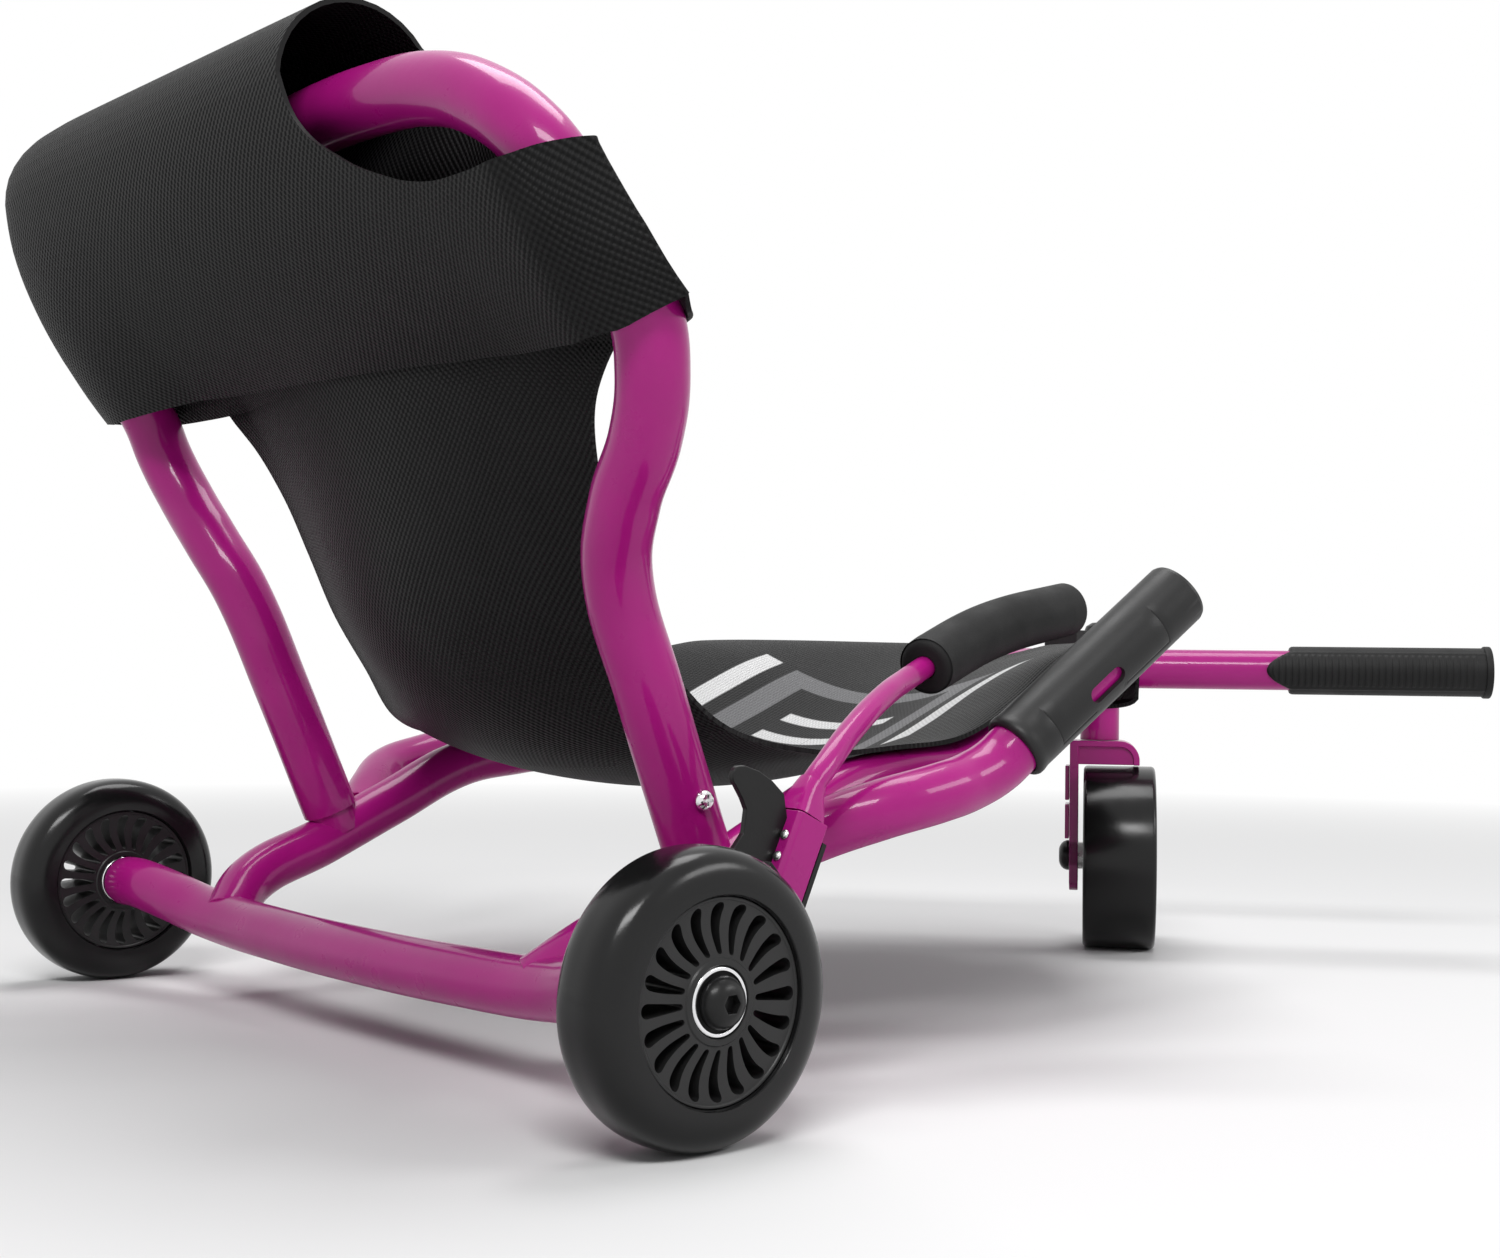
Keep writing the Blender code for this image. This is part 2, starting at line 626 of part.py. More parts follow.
def build_front_wheel(guide):
    """Wide flat-tread wheel on a through bolt from the fork leg."""
    axis = empty("front_axle", (FRONT_WHEEL_OFFSET, 0, FRONT_WHEEL_RADIUS), (0, math.pi / 2, 0))
    axis.parent = guide
    bpy.context.view_layer.update()
    half = FRONT_WHEEL_WIDTH / 2
    radius = FRONT_WHEEL_RADIUS
    corner = FRONT_TREAD_CORNER
    upper = arc((radius - corner, half - corner), corner, 90, 0, 4)
    lower = arc((radius - corner, -half + corner), corner, 0, -90, 4)
    inner = FRONT_HUB_RADIUS + GAP
    turned("front_tyre", upper + lower + [(inner, -half), (inner, half)], TYRE, sides=36, parent=axis)
    seat = BEARING_RADIUS + GAP
    hub_half = half - 0.001
    web = 0.008
    boss = BEARING_RADIUS + 0.0035
    rim = FRONT_HUB_RADIUS - 0.004
    shoulder = hub_half - BEARING_WIDTH - 0.0005
    right_face = FRONT_NUT_RECESS - hub_half
    bore = BEARING_RADIUS - 0.003
    hub_profile = [
        (boss, hub_half), (boss, web), (rim, web), (rim, hub_half), (FRONT_HUB_RADIUS, hub_half),
        (FRONT_HUB_RADIUS, -hub_half), (rim, -hub_half), (rim, -web), (boss, -web), (boss, -hub_half),
        (seat, -hub_half), (seat, FRONT_NUT_RECESS - shoulder), (bore, FRONT_NUT_RECESS - shoulder),
        (bore, shoulder), (seat, shoulder), (seat, hub_half)]
    turned("front_hub", hub_profile, HUB_BLACK, sides=28, parent=axis)
    wheel_bearing("front_bearing_left", hub_half - BEARING_WIDTH, axis)
    wheel_bearing("front_bearing_right", right_face, axis)
    sleeve = hub_half - BEARING_WIDTH - GAP
    inner_radius = AXLE_RADIUS + GAP
    turned(
        "front_spacer",
        ring_profile(inner_radius, inner_radius + 0.002, FRONT_NUT_RECESS - sleeve, sleeve), STEEL,
        sides=16, parent=axis)
    leg_inner = FORK_LEG_OUTER - FORK_PLATE - FRONT_WHEEL_OFFSET
    turned(
        "front_washer", ring_profile(inner_radius, 0.0095, hub_half + GAP, leg_inner - GAP), STEEL,
        sides=16, parent=axis)
    leg_outer = FORK_LEG_OUTER - FRONT_WHEEL_OFFSET
    nut_top = right_face - GAP
    nut_bottom = nut_top - FRONT_NUT_HEIGHT
    axle_bolt("front_axle_bolt", leg_outer + GAP, nut_bottom - FRONT_BOLT_TIP, axis)
    nut = rod(
        "front_axle_nut", (0, 0, nut_bottom), (0, 0, nut_top), AXLE_HEAD_RADIUS, STEEL, sides=6,
        parent=axis)
    thread = rod(
        "front_nut_bore", (0, 0, nut_bottom - 0.01), (0, 0, nut_top + 0.01), inner_radius,
        sides=20, parent=axis, cutter=True)
    boolean(nut, thread)


def grip_profile():
    """Sleeve with a blind bore for the bar; local Z runs outward."""
    bore = BAR_RADIUS + GAP
    end = BAR_HALF_LENGTH + GRIP_FLANGE + GAP
    return [
        (0, end), (GRIP_FLANGE_RADIUS, end), (GRIP_FLANGE_RADIUS, end - GRIP_FLANGE),
        (GRIP_RADIUS, end - GRIP_FLANGE), (GRIP_RADIUS, GRIP_START), (bore + 0.0008, GRIP_POINT),
        (bore, GRIP_POINT), (bore, BAR_HALF_LENGTH + GAP), (0, BAR_HALF_LENGTH + GAP)]


def build_steering(head_top):
    """Everything that turns about the steering post, in the photographed turn."""
    guide = empty("steering_axis", spot(WHEELBASE, 0, 0), (0, 0, STEER_ANGLE))
    bar = rod(
        "foot_bar", (-BAR_HALF_LENGTH, 0, BAR_HEIGHT), (BAR_HALF_LENGTH, 0, BAR_HEIGHT), BAR_RADIUS,
        PAINT, sides=24, parent=guide)
    post = rod(
        "steering_post", (0, 0, FORK_CROWN_TOP + GAP), (0, 0, BAR_HEIGHT), POST_RADIUS, PAINT,
        parent=guide)
    bar_clearance = rod(
        "bar_clearance", (-0.05, 0, BAR_HEIGHT), (0.05, 0, BAR_HEIGHT), BAR_RADIUS + GAP,
        parent=guide, cutter=True)
    boolean(post, bar_clearance)
    bolt_bottom = FORK_CROWN_TOP + 0.016
    pivot_hole = rod(
        "pivot_hole", (0, 0, bolt_bottom - 0.002), (0, 0, BAR_HEIGHT + 0.03), PIVOT_RADIUS + GAP,
        sides=16, parent=guide, cutter=True)
    boolean(post, pivot_hole)
    boolean(bar, pivot_hole)
    head = head_top + GAP
    profile = [
        (0, head + 0.0065), (0.006, head + 0.006), (0.0100, head + 0.0035), (0.0110, head + 0.001),
        (0.0110, head), (PIVOT_RADIUS, head), (PIVOT_RADIUS, bolt_bottom), (0, bolt_bottom)]
    turned("pivot_bolt", profile, BLACK_STEEL, sides=20, parent=guide, closed=False)
    for side, sign in SIDES:
        axis = empty("grip_axis_" + side, (0, 0, BAR_HEIGHT), (0, sign * math.pi / 2, 0))
        axis.parent = guide
        bpy.context.view_layer.update()
        turned("foot_grip_" + side, grip_profile(), GRIP_BLACK, sides=24, parent=axis, closed=False)
    build_fork(guide)
    build_front_wheel(guide)


def leaned(back, rise):
    """(ahead, up) of a point in the channel's own frame, from its pin."""
    return (
        rise * math.sin(CHANNEL_LEAN) - back * math.cos(CHANNEL_LEAN),
        rise * math.cos(CHANNEL_LEAN) + back * math.sin(CHANNEL_LEAN))


def build_brake():
    """Hand lever on the right rail, with its hooked plate and its shoe at the tyre.

    In the frame of the brake's axis +X is left, -Y is ahead and +Z is up.
    """
    guide = empty("brake_axis", spot(*BRAKE_PIN))
    leaning = empty("brake_lean", (0, 0, 0), (CHANNEL_LEAN, 0, 0))
    leaning.parent = guide
    bpy.context.view_layer.update()
    cheek = CHANNEL_WIDTH / 2
    pin_hole = rod(
        "brake_pin_hole", (-0.03, 0, 0), (BRAKE_PIN_DEPTH + 0.002, 0, 0), BRAKE_PIN_RADIUS + GAP,
        sides=16, parent=guide, cutter=True)
    build_brake_bracket(guide, leaning, pin_hole)
    channel = box(
        "brake_channel", (-cheek, -CHANNEL_FRONT, -CHANNEL_BELOW),
        (cheek, CHANNEL_BACK, CHANNEL_ABOVE), PAINT, leaning)
    hollow = box(
        "channel_hollow", (-cheek + CHANNEL_WALL, -CHANNEL_FRONT - 0.01, -CHANNEL_BELOW - 0.01),
        (cheek - CHANNEL_WALL, CHANNEL_BACK - CHANNEL_WALL, CHANNEL_ABOVE - CHANNEL_WALL),
        parent=leaning, cutter=True)
    boolean(channel, hollow)
    boolean(channel, pin_hole)
    head = cheek + GAP
    axis = empty("brake_pin_axis", (0, 0, 0), (0, -math.pi / 2, 0))
    axis.parent = guide
    bpy.context.view_layer.update()
    profile = [
        (0, head + 0.0035), (0.005, head + 0.003), (0.0068, head + 0.001), (0.0068, head),
        (BRAKE_PIN_RADIUS, head), (BRAKE_PIN_RADIUS, -BRAKE_PIN_DEPTH), (0, -BRAKE_PIN_DEPTH)]
    turned("brake_pin", profile, STEEL, sides=16, parent=axis, closed=False)
    build_brake_rod()
    build_brake_plate(guide, leaning, channel)
    build_brake_spring(guide)


def build_brake_bracket(guide, leaning, pin_hole):
    """Boss on the rail with a stop strip in front of the channel."""
    cheek = CHANNEL_WIDTH / 2
    beside = cheek + GAP
    rail_centre = -RAIL_LEFT - BRAKE_PIN[1]
    bracket = rod(
        "brake_bracket", (beside, 0, 0), (rail_centre - 0.004, 0, 0), 0.0075, BLACK_STEEL,
        sides=20, parent=guide)
    stop_back = -CHANNEL_FRONT - GAP
    stop_front = stop_back - 0.0025
    strip = box(
        "brake_stop", (-cheek, stop_front, 0.004), (beside + 0.010, stop_back, 0.036),
        parent=leaning, cutter=True)
    foot = box(
        "brake_stop_foot", (beside, stop_front, -0.005), (beside + 0.010, 0.004, 0.006),
        parent=leaning, cutter=True)
    boolean(bracket, foot, "UNION")
    boolean(bracket, strip, "UNION")
    boolean(bracket, bpy.data.objects["rail_clearance_right"])
    boolean(bracket, pin_hole)


def build_brake_rod():
    """Bent rod from the channel's top to the foam grip."""
    pin = Vector(BRAKE_PIN)
    middle = (CHANNEL_BACK - CHANNEL_FRONT) / 2
    ahead, up = leaned(middle, CHANNEL_ABOVE + GAP)
    start = pin + Vector((ahead, 0, up))
    route = [
        tuple(start), (start.x + 0.0065, pin.y, start.z + 0.013), (0.139, -0.222, 0.1480),
        (0.177, -0.205, 0.1660), (0.225, -0.186, 0.1890), (0.280, -0.180, 0.2120),
        (0.345, -0.180, 0.2262)]
    bent_tube("brake_rod", route, BRAKE_ROD_RADIUS, PAINT, sides=10)
    bore = bent_tube("foam_bore", route, BRAKE_ROD_RADIUS + GAP, sides=10, cutter=True)
    foam_route = [
        (0.2185, -0.1886, 0.1860), (0.225, -0.186, 0.1890), (0.280, -0.180, 0.2120),
        (0.352, -0.180, 0.2270)]
    foam = bent_tube("brake_grip", foam_route, FOAM_RADIUS, FOAM, sides=14, steps=2)
    boolean(foam, bore)


def build_brake_plate(guide, leaning, channel):
    """Hooked plate riveted to the channel's web, with the shoe along its rear edge."""
    web_inner = CHANNEL_BACK - CHANNEL_WALL
    inside = web_inner - GAP - BRAKE_PLATE
    foot_low = 0.007
    foot_high = CHANNEL_ABOVE - CHANNEL_WALL - 0.001
    axle = (-BRAKE_PIN[0], REAR_WHEEL_RADIUS - BRAKE_PIN[2])
    outline = [leaned(inside, foot_low), leaned(inside, foot_high), leaned(CHANNEL_BACK, foot_high)]
    outline += [(0.008, 0.0500), (0.001, 0.0560), (-0.0070, 0.0605), (-0.0150, 0.0630)]
    outline += arc((-0.0175, 0.0585), 0.0047, 110, 230, 5)
    outline += [(-0.0165, 0.0490), (-0.0140, 0.0440), (-0.0155, 0.0340), (-0.0225, 0.0260)]
    outline += arc(axle, SHOE_RADIUS - 0.0008, SHOE_TO, SHOE_FROM, 5)
    outline += [leaned(CHANNEL_BACK + 0.003, foot_low), leaned(CHANNEL_BACK, foot_low)]
    middle = -0.001
    upright = empty("brake_plate_plane", (middle, 0, 0), (math.pi / 2, 0, -math.pi / 2))
    upright.parent = guide
    bpy.context.view_layer.update()
    carrier = plate("brake_plate", outline, BRAKE_PLATE, BLACK_STEEL, upright)
    outer = middle - BRAKE_PLATE / 2
    flange = box(
        "brake_plate_flange", (-CHANNEL_WIDTH / 2 + CHANNEL_WALL + GAP, inside + GAP, foot_low + 0.001),
        (middle, web_inner - GAP, foot_high - 0.001), parent=leaning, cutter=True)
    boolean(carrier, flange, "UNION")
    eye = box(
        "brake_plate_eye", (middle - 0.01, 0.0045, 0.0525), (middle + 0.01, 0.0105, 0.0545),
        parent=guide, cutter=True)
    boolean(carrier, eye)
    slot = box(
        "brake_web_slot", (outer - GAP, inside - 0.001, foot_low - GAP),
        (middle + BRAKE_PLATE / 2 + GAP, CHANNEL_BACK + 0.01, foot_high + GAP),
        parent=leaning, cutter=True)
    boolean(channel, slot)
    shoe_outline = arc(axle, SHOE_RADIUS, SHOE_FROM, SHOE_TO, 7)
    shoe_outline += arc(axle, SHOE_RADIUS + SHOE_THICKNESS, SHOE_TO, SHOE_FROM, 7)
    shoe_inner = outer - GAP
    shoe_outer = -SHOE_REACH - BRAKE_PIN[1]
    shoe_plane = empty(
        "brake_shoe_plane", ((shoe_inner + shoe_outer) / 2, 0, 0), (math.pi / 2, 0, -math.pi / 2))
    shoe_plane.parent = guide
    bpy.context.view_layer.update()
    plate("brake_shoe", shoe_outline, shoe_inner - shoe_outer, RUBBER, shoe_plane)
    for k in range(RIVET_COUNT):
        height = foot_low + 0.005 + 0.010 * k
        axis = empty("rivet_axis_" + str(k + 1), (RIVET_SIDE, 0, height), (-math.pi / 2, 0, 0))
        axis.parent = leaning
        bpy.context.view_layer.update()
        top = CHANNEL_BACK + GAP
        profile = [
            (0, top + 0.0014), (RIVET_HEAD * 0.7, top + 0.0010), (RIVET_HEAD, top),
            (RIVET_RADIUS, top), (RIVET_RADIUS, inside + 0.001), (0, inside + 0.001)]
        turned(
            "brake_rivet_" + str(k + 1), profile, STEEL, sides=12, parent=axis, closed=False)
        hole = rod(
            "rivet_hole_" + str(k + 1), (0, 0, inside + 0.0004), (0, 0, top + 0.004),
            RIVET_RADIUS + GAP, sides=12, parent=axis, cutter=True)
        boolean(carrier, hole)
        boolean(channel, hole)


def build_brake_spring(guide):
    """Return spring wound on the pin between the channel's cheeks."""
    coil = BRAKE_PIN_RADIUS + SPRING_WIRE + 0.0005
    width = CHANNEL_WIDTH / 2 - CHANNEL_WALL - 2 * SPRING_WIRE
    middle = CHANNEL_WIDTH / 2 - CHANNEL_WALL - width / 2 - 1.5 * SPRING_WIRE
    curve = bpy.data.curves.new("brake_spring", "CURVE")
    curve.dimensions = "3D"
    curve.bevel_depth = SPRING_WIRE
    curve.bevel_resolution = 1
    curve.use_fill_caps = True
    count = SPRING_TURNS * 8 + 1
    spline = curve.splines.new("POLY")
    spline.points.add(count - 1)
    for k, point in enumerate(spline.points):
        share = k / (count - 1)
        angle = 2 * math.pi * SPRING_TURNS * share
        point.co = (
            middle + width * (share - 0.5), coil * math.cos(angle), coil * math.sin(angle), 1)
    as_mesh(add_object("brake_spring", curve, STEEL, guide))


def blend(first, second, share):
    return first + (second - first) * share


def along(stations, share):
    """Value at a share of the way through a smooth list of tuples."""
    place = share * (len(stations) - 1)
    k = min(int(place), len(stations) - 2)
    t = place - k
    before = stations[max(k - 1, 0)]
    after = stations[min(k + 2, len(stations) - 1)]
    result = []
    for a, b, c, d in zip(before, stations[k], stations[k + 1], after):
        result.append(
            b + 0.5 * t * (c - a + t * (2 * a - 5 * b + 4 * c - d + t * (3 * (b - c) + d - a))))
    return result


# Sling from the bag's front hem down over the seat to the front fold. Each row holds the
# edge's (ahead, up), the half width, and the centre line's (ahead, up).
SLING_ROWS = [
    (0.0200, 0.3350, 0.1830, 0.0010, 0.3350),
    (0.0310, 0.3120, 0.1600, 0.0080, 0.3080),
    (0.0430, 0.2860, 0.1480, 0.0150, 0.2780),
    (0.0560, 0.2530, 0.1410, 0.0240, 0.2430),
    (0.0720, 0.2200, 0.1400, 0.0380, 0.2080),
    (0.0940, 0.1910, 0.1415, 0.0600, 0.1750),
    (0.1210, 0.1660, 0.1540, 0.0920, 0.1500),
    (0.1620, 0.1530, 0.1740, 0.1350, 0.1340),
    (0.2100, 0.1565, 0.1815, 0.1850, 0.1260),
    (0.2560, 0.1630, 0.1835, 0.2350, 0.1270),
    (0.3000, 0.1840, 0.1850, 0.2850, 0.1400),
    (0.3400, 0.2075, 0.1860, 0.3300, 0.1620),
    (0.3720, 0.2155, 0.1850, 0.3700, 0.1850),
    (0.4050, 0.2165, 0.1830, 0.4050, 0.2000),
    (0.4400, 0.2165, 0.1550, 0.4400, 0.2100),
    (0.4750, 0.2160, 0.1150, 0.4750, 0.2150),
    (0.5100, 0.2150, 0.0710, 0.5100, 0.2150),
    (0.5360, 0.2130, 0.0400, 0.5360, 0.2130)]


def bag_middle(share):
    """Distance ahead of the pocket's middle, from its hem (0) to the middle of its roll (1)."""
    return BAG_START - BAG_LEAN * (1 - (1 - share) ** BAG_LEAN_POWER)


def bag_point(u, side, height):
    """Pocket over the back tube: side -1 is the rear sheet, +1 the front sheet.

    The section is a flat superellipse round both legs, and the top is a half-round roll.
    """
    closing = (1 - abs(u) ** 7) ** (1 / 7)
    share = (height - BAG_BOTTOM) / (BAG_ROLL_CENTRE - BAG_BOTTOM)
    middle = bag_middle(share)
    sag = BAG_SAG * max(0.0, 1 - (u / 0.62) ** 2) * (1 - share)
    if side > 0:
        depth = blend(BAG_FRONT_BOTTOM, BAG_FRONT_TOP, share) * closing - sag
    else:
        rear = blend(BAG_BACK_BOTTOM, BAG_BACK_TOP, share) * closing
        tucked = sag + BAG_HEM_GAP - BAG_FRONT_BOTTOM
        inward = max(0.0, 1 - (u / 0.80) ** 2) * (1 - share) ** 2
        depth = -blend(rear, tucked, inward)
    return (middle + depth, u * BAG_HALF_WIDTH, height)


def roll_point(u, angle):
    """Half-round top of the pocket; the angle runs from the rear (0) to the front (180)."""
    closing = (1 - abs(u) ** 7) ** (1 / 7)
    centre = bag_middle(1) + (BAG_FRONT_TOP - BAG_BACK_TOP) / 2 * closing
    radius = (BAG_FRONT_TOP + BAG_BACK_TOP) / 2 * closing
    turn = math.radians(angle)
    return (centre - radius * math.cos(turn), u * BAG_HALF_WIDTH, BAG_ROLL_CENTRE + radius * math.sin(turn))


def sling_point(u, share):
    """Open part of the sling; u runs from -1 to 1 between its free edges."""
    ahead, up, half, centre_ahead, centre_up = along(SLING_ROWS, share)
    sag = (1 - u * u) ** 1.3
    return (blend(ahead, centre_ahead, sag), half * u, blend(up, centre_up, sag))


def under_point(u, share):
    """Lower sheet of the front pocket, below the rails."""
    ahead, left, up = sling_point(u, share)
    closing = (1 - abs(u) ** 12) ** (1 / 12)
    return (ahead, left, up - 0.0450 * closing)


# Edges of the pocket's cut-out, as (left, up) points
REAR_WINDOW = [
    (-0.300, 0.402), (-0.255, 0.402), (-0.240, 0.396), (-0.224, 0.391), (-0.193, 0.389),
    (-0.165, 0.392), (-0.137, 0.400), (-0.110, 0.412), (-0.086, 0.428), (-0.074, 0.450),
    (-0.074, 0.520), (-0.300, 0.520)]
FRONT_WINDOW = [
    (-0.300, 0.402), (-0.255, 0.403), (-0.222, 0.407), (-0.190, 0.414), (-0.165, 0.424),
    (-0.140, 0.436), (-0.110, 0.448), (-0.085, 0.461), (-0.074, 0.480), (-0.074, 0.520),
    (-0.300, 0.520)]


def cut_out(sling, name, outline, middle):
    """Cut an outline through one sheet of the pocket, 0.2 m deep about its middle."""
    plane = empty("window_plane_" + name, middle, (math.pi / 2, 0, 0))
    cutter = plate("sling_window_" + name, outline, 0.20, None, plane, True)
    boolean(sling, cutter)


def build_sling():
    """One cloth: pocket over the back tube, seat, and pocket over the frame's front."""
    inner = 0.1830 / BAG_HALF_WIDTH
    columns = [-1, -0.985, -0.95, -0.88, -0.78, -inner, -0.97 * inner, -0.5, -0.25, 0]
    columns += [-value for value in columns[-2::-1]]
    free = [k for k, u in enumerate(columns) if abs(u) <= inner + 1e-6]
    work = bmesh.new()
    cloth = {}

    def put(key, place):
        cloth[key] = work.verts.new(spot(*place))

    heights = [BAG_BOTTOM, 0.372, 0.413, BAG_ROLL_CENTRE]
    turns = [30, 60, 90, 120, 150]
    bag = []
    for height in heights:
        bag.append([bag_point(u, -1, height) for u in columns])
    for angle in turns:
        bag.append([roll_point(u, angle) for u in columns])
    for height in heights[::-1]:
        bag.append([bag_point(u, 1, height) for u in columns])
    for row, line in enumerate(bag):
        for k, place in enumerate(line):
            put(("bag", row, k), place)
    hem = len(bag) - 1
    for row in range(hem):
        for k in range(len(columns) - 1):
            work.faces.new([
                cloth["bag", row, k], cloth["bag", row, k + 1], cloth["bag", row + 1, k + 1],
                cloth["bag", row + 1, k]])
    steps = len(SLING_ROWS) - 1
    for k in free:
        cloth["seat", 0, k] = cloth["bag", hem, k]
    for row in range(1, steps + 1):
        for k in free:
            put(("seat", row, k), sling_point(columns[k] / inner, row / steps))
    for row in range(steps):
        for k in free[:-1]:
            work.faces.new([
                cloth["seat", row, k], cloth["seat", row, k + 1], cloth["seat", row + 1, k + 1],
                cloth["seat", row + 1, k]])
    pocket_start = 14
    for row in range(pocket_start, steps + 1):
        for k in free:
            if row == steps or k in (free[0], free[-1]):
                if k in (free[0], free[-1]):
                    cloth["under", row, k] = cloth["seat", row, k]
                    continue
            put(("under", row, k), under_point(columns[k] / inner, row / steps))
    for row in range(pocket_start, steps):
        for k in free[:-1]:
            work.faces.new([
                cloth["under", row, k], cloth["under", row + 1, k], cloth["under", row + 1, k + 1],
                cloth["under", row, k + 1]])
    for k in free[:-1]:
        corners = [
            cloth["seat", steps, k], cloth["seat", steps, k + 1], cloth["under", steps, k + 1],
            cloth["under", steps, k]]
        corners = list(dict.fromkeys(corners))
        work.faces.new(corners)
    bmesh.ops.remove_doubles(work, verts=work.verts, dist=0.0001)
    bmesh.ops.recalc_face_normals(work, faces=work.faces)
    mesh = bpy.data.meshes.new("sling_seat")
    work.to_mesh(mesh)
    work.free()
    sling = add_object("sling_seat", mesh, FABRIC)
    body = sling.modifiers.new("cloth", "SOLIDIFY")
    body.thickness = CLOTH
    body.offset = 0
    cut_out(sling, "rear", REAR_WINDOW, spot(-0.123, 0, 0))
    cut_out(sling, "front", FRONT_WINDOW, spot(0.072, 0, 0))
    notch_outline = arc((0, 0), 0.0290, 0, 180, 9) + [(-0.0290, -0.08), (0.0290, -0.08)]
    notch_plane = empty("notch_plane", spot(0.518, 0, 0.19))
    notch = plate("sling_notch", notch_outline, 0.12, None, notch_plane, True)
    boolean(sling, notch)


for leftover in list(bpy.data.objects):
    bpy.data.objects.remove(leftover)

PARTS = new_collection("ride_on_drifter")
CUTTERS = new_collection("cutters")
SIDES = (("left", 1), ("right", -1))
AXLE_END = REAR_TRACK / 2 - REAR_HUB_WIDTH / 2 - 0.0035
SLEEVE_SLOT_TURN = math.radians(-60)

PAINT = material("magenta_paint", (0.45, 0.013, 0.22), 0.2)
TYRE = material("tyre_urethane", (0.012, 0.012, 0.013), 0.28)
HUB_BLACK = material("hub_plastic", (0.012, 0.012, 0.013), 0.35)
HEAD_BLACK = material("head_plastic", (0.02, 0.02, 0.021), 0.5)
SLEEVE_BLACK = material("sleeve_plastic", (0.03, 0.03, 0.031), 0.45)
GRIP_BLACK = material("grip_rubber", (0.012, 0.012, 0.013), 0.6)
FOAM = material("grip_foam", (0.03, 0.03, 0.03), 0.8)
RUBBER = material("shoe_rubber", (0.015, 0.015, 0.015), 0.6)
FABRIC = material("sling_fabric", (0.015, 0.015, 0.016), 0.8)
BLACK_STEEL = material("black_steel", (0.02, 0.02, 0.02), 0.35, 0.6)
STEEL = material("zinc_steel", (0.6, 0.6, 0.6), 0.3, 1.0)
CHROME = material("chrome", (0.75, 0.75, 0.76), 0.12, 1.0)
BRONZE = material("bush_bronze", (0.5, 0.3, 0.12), 0.4, 1.0)

build_crossbar()
build_centre_tube()
build_rails()
build_back()
build_handles()
for wheel_side, wheel_sign in SIDES:
    rear_wheel(wheel_side, wheel_sign)
build_steering(build_head())
build_brake()
build_sling()
bpy.context.view_layer.update()
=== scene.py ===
"""Looks of the ride-on drifter: finer surfaces round the packed model, and their finishes.

All lengths are metres. A route is a list of (ahead of the rear axle, to the rider's left,
up). Every surface is a grid of points worked out with numpy.
"""
import math

import bmesh
import bpy
import numpy as np
from bpy.props import FloatProperty, FloatVectorProperty, IntProperty, PointerProperty
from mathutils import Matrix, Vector

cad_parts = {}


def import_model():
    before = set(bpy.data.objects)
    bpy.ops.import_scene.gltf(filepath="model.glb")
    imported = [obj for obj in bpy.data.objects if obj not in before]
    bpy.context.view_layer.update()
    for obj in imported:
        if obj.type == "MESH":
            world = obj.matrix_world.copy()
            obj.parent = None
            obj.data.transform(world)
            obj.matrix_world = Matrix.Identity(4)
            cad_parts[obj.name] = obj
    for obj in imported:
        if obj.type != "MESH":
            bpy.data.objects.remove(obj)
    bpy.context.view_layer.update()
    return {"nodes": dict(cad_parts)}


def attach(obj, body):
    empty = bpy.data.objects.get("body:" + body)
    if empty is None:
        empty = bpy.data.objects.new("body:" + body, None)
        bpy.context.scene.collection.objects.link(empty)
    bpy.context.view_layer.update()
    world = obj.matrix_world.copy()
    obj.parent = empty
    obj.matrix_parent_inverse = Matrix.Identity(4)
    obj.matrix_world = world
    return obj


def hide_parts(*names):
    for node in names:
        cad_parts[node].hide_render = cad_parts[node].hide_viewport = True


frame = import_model()

bl_info = {
    "name": "Ride-on drifter looks",
    "version": (1, 0, 0),
    "blender": (4, 5, 0),
    "location": "View3D > Sidebar > Drifter",
    "description": "Builds the fine surfaces, finishes and studio of a ride-on drifter",
    "category": "Object",
}

# Places and sizes shared with the packed model
AXLE_Y = 0.34660
WHEELBASE = 0.600
TRACK = 0.550
STEER = math.radians(38.5)
GAP = 0.0003
SIDES = (("left", 1.0), ("right", -1.0))
BAR_HEIGHT = 0.1956
BAR_RADIUS = 0.01375
FORK_TOP = 0.1450
FORK_OUTER = 0.0204
YOKE_CLEARANCE = 0.0011
YOKE_LOWER = 0.0072
YOKE_UPPER = 0.0110
FRONT_OFFSET = -0.0138
FRONT_HUB_RADIUS = 0.044
BEARING_RADIUS = 0.014
BEARING_WIDTH = 0.008
SEAL_INNER = 0.0092
SEAL_OUTER = 0.0122
REAR_HUB_HALF = 0.016
AXLE_RADIUS = 0.006
HEAD_RADIUS = 0.0105
HEAD_HEIGHT = 0.007
NUT_RECESS = 0.0115
PIN = np.array([0.077, -0.231, 0.085])
LEAN = math.radians(25)
CHANNEL_HALF = 0.010
CHANNEL_BACK = 0.008
CHANNEL_FRONT = 0.010
CHANNEL_WALL = 0.0025
CHANNEL_ABOVE = 0.044
CHANNEL_BELOW = 0.010

CROSSBAR = [
    (0.000, 0.2555, 0.0600), (0.000, 0.238, 0.0600), (0.006, 0.205, 0.0545),
    (0.012, 0.170, 0.0480), (0.0125, 0.085, 0.0442)]
RAIL = [
    (0.013, 0.150, 0.0475), (0.035, 0.166, 0.066), (0.084, 0.171, 0.0860),
    (0.129, 0.171, 0.1070), (0.180, 0.171, 0.1300), (0.225, 0.171, 0.1370),
    (0.270, 0.173, 0.1420), (0.320, 0.180, 0.1720), (0.356, 0.1805, 0.1900),
    (0.392, 0.168, 0.1950), (0.430, 0.1365, 0.1955), (0.470, 0.0895, 0.1940),
    (0.522, 0.012, 0.1915)]
CENTRE_TUBE = [(0.494, 0, 0.1895), (0.515, 0, 0.1928), (0.536, 0, 0.1935), (0.5554, 0, 0.1935)]
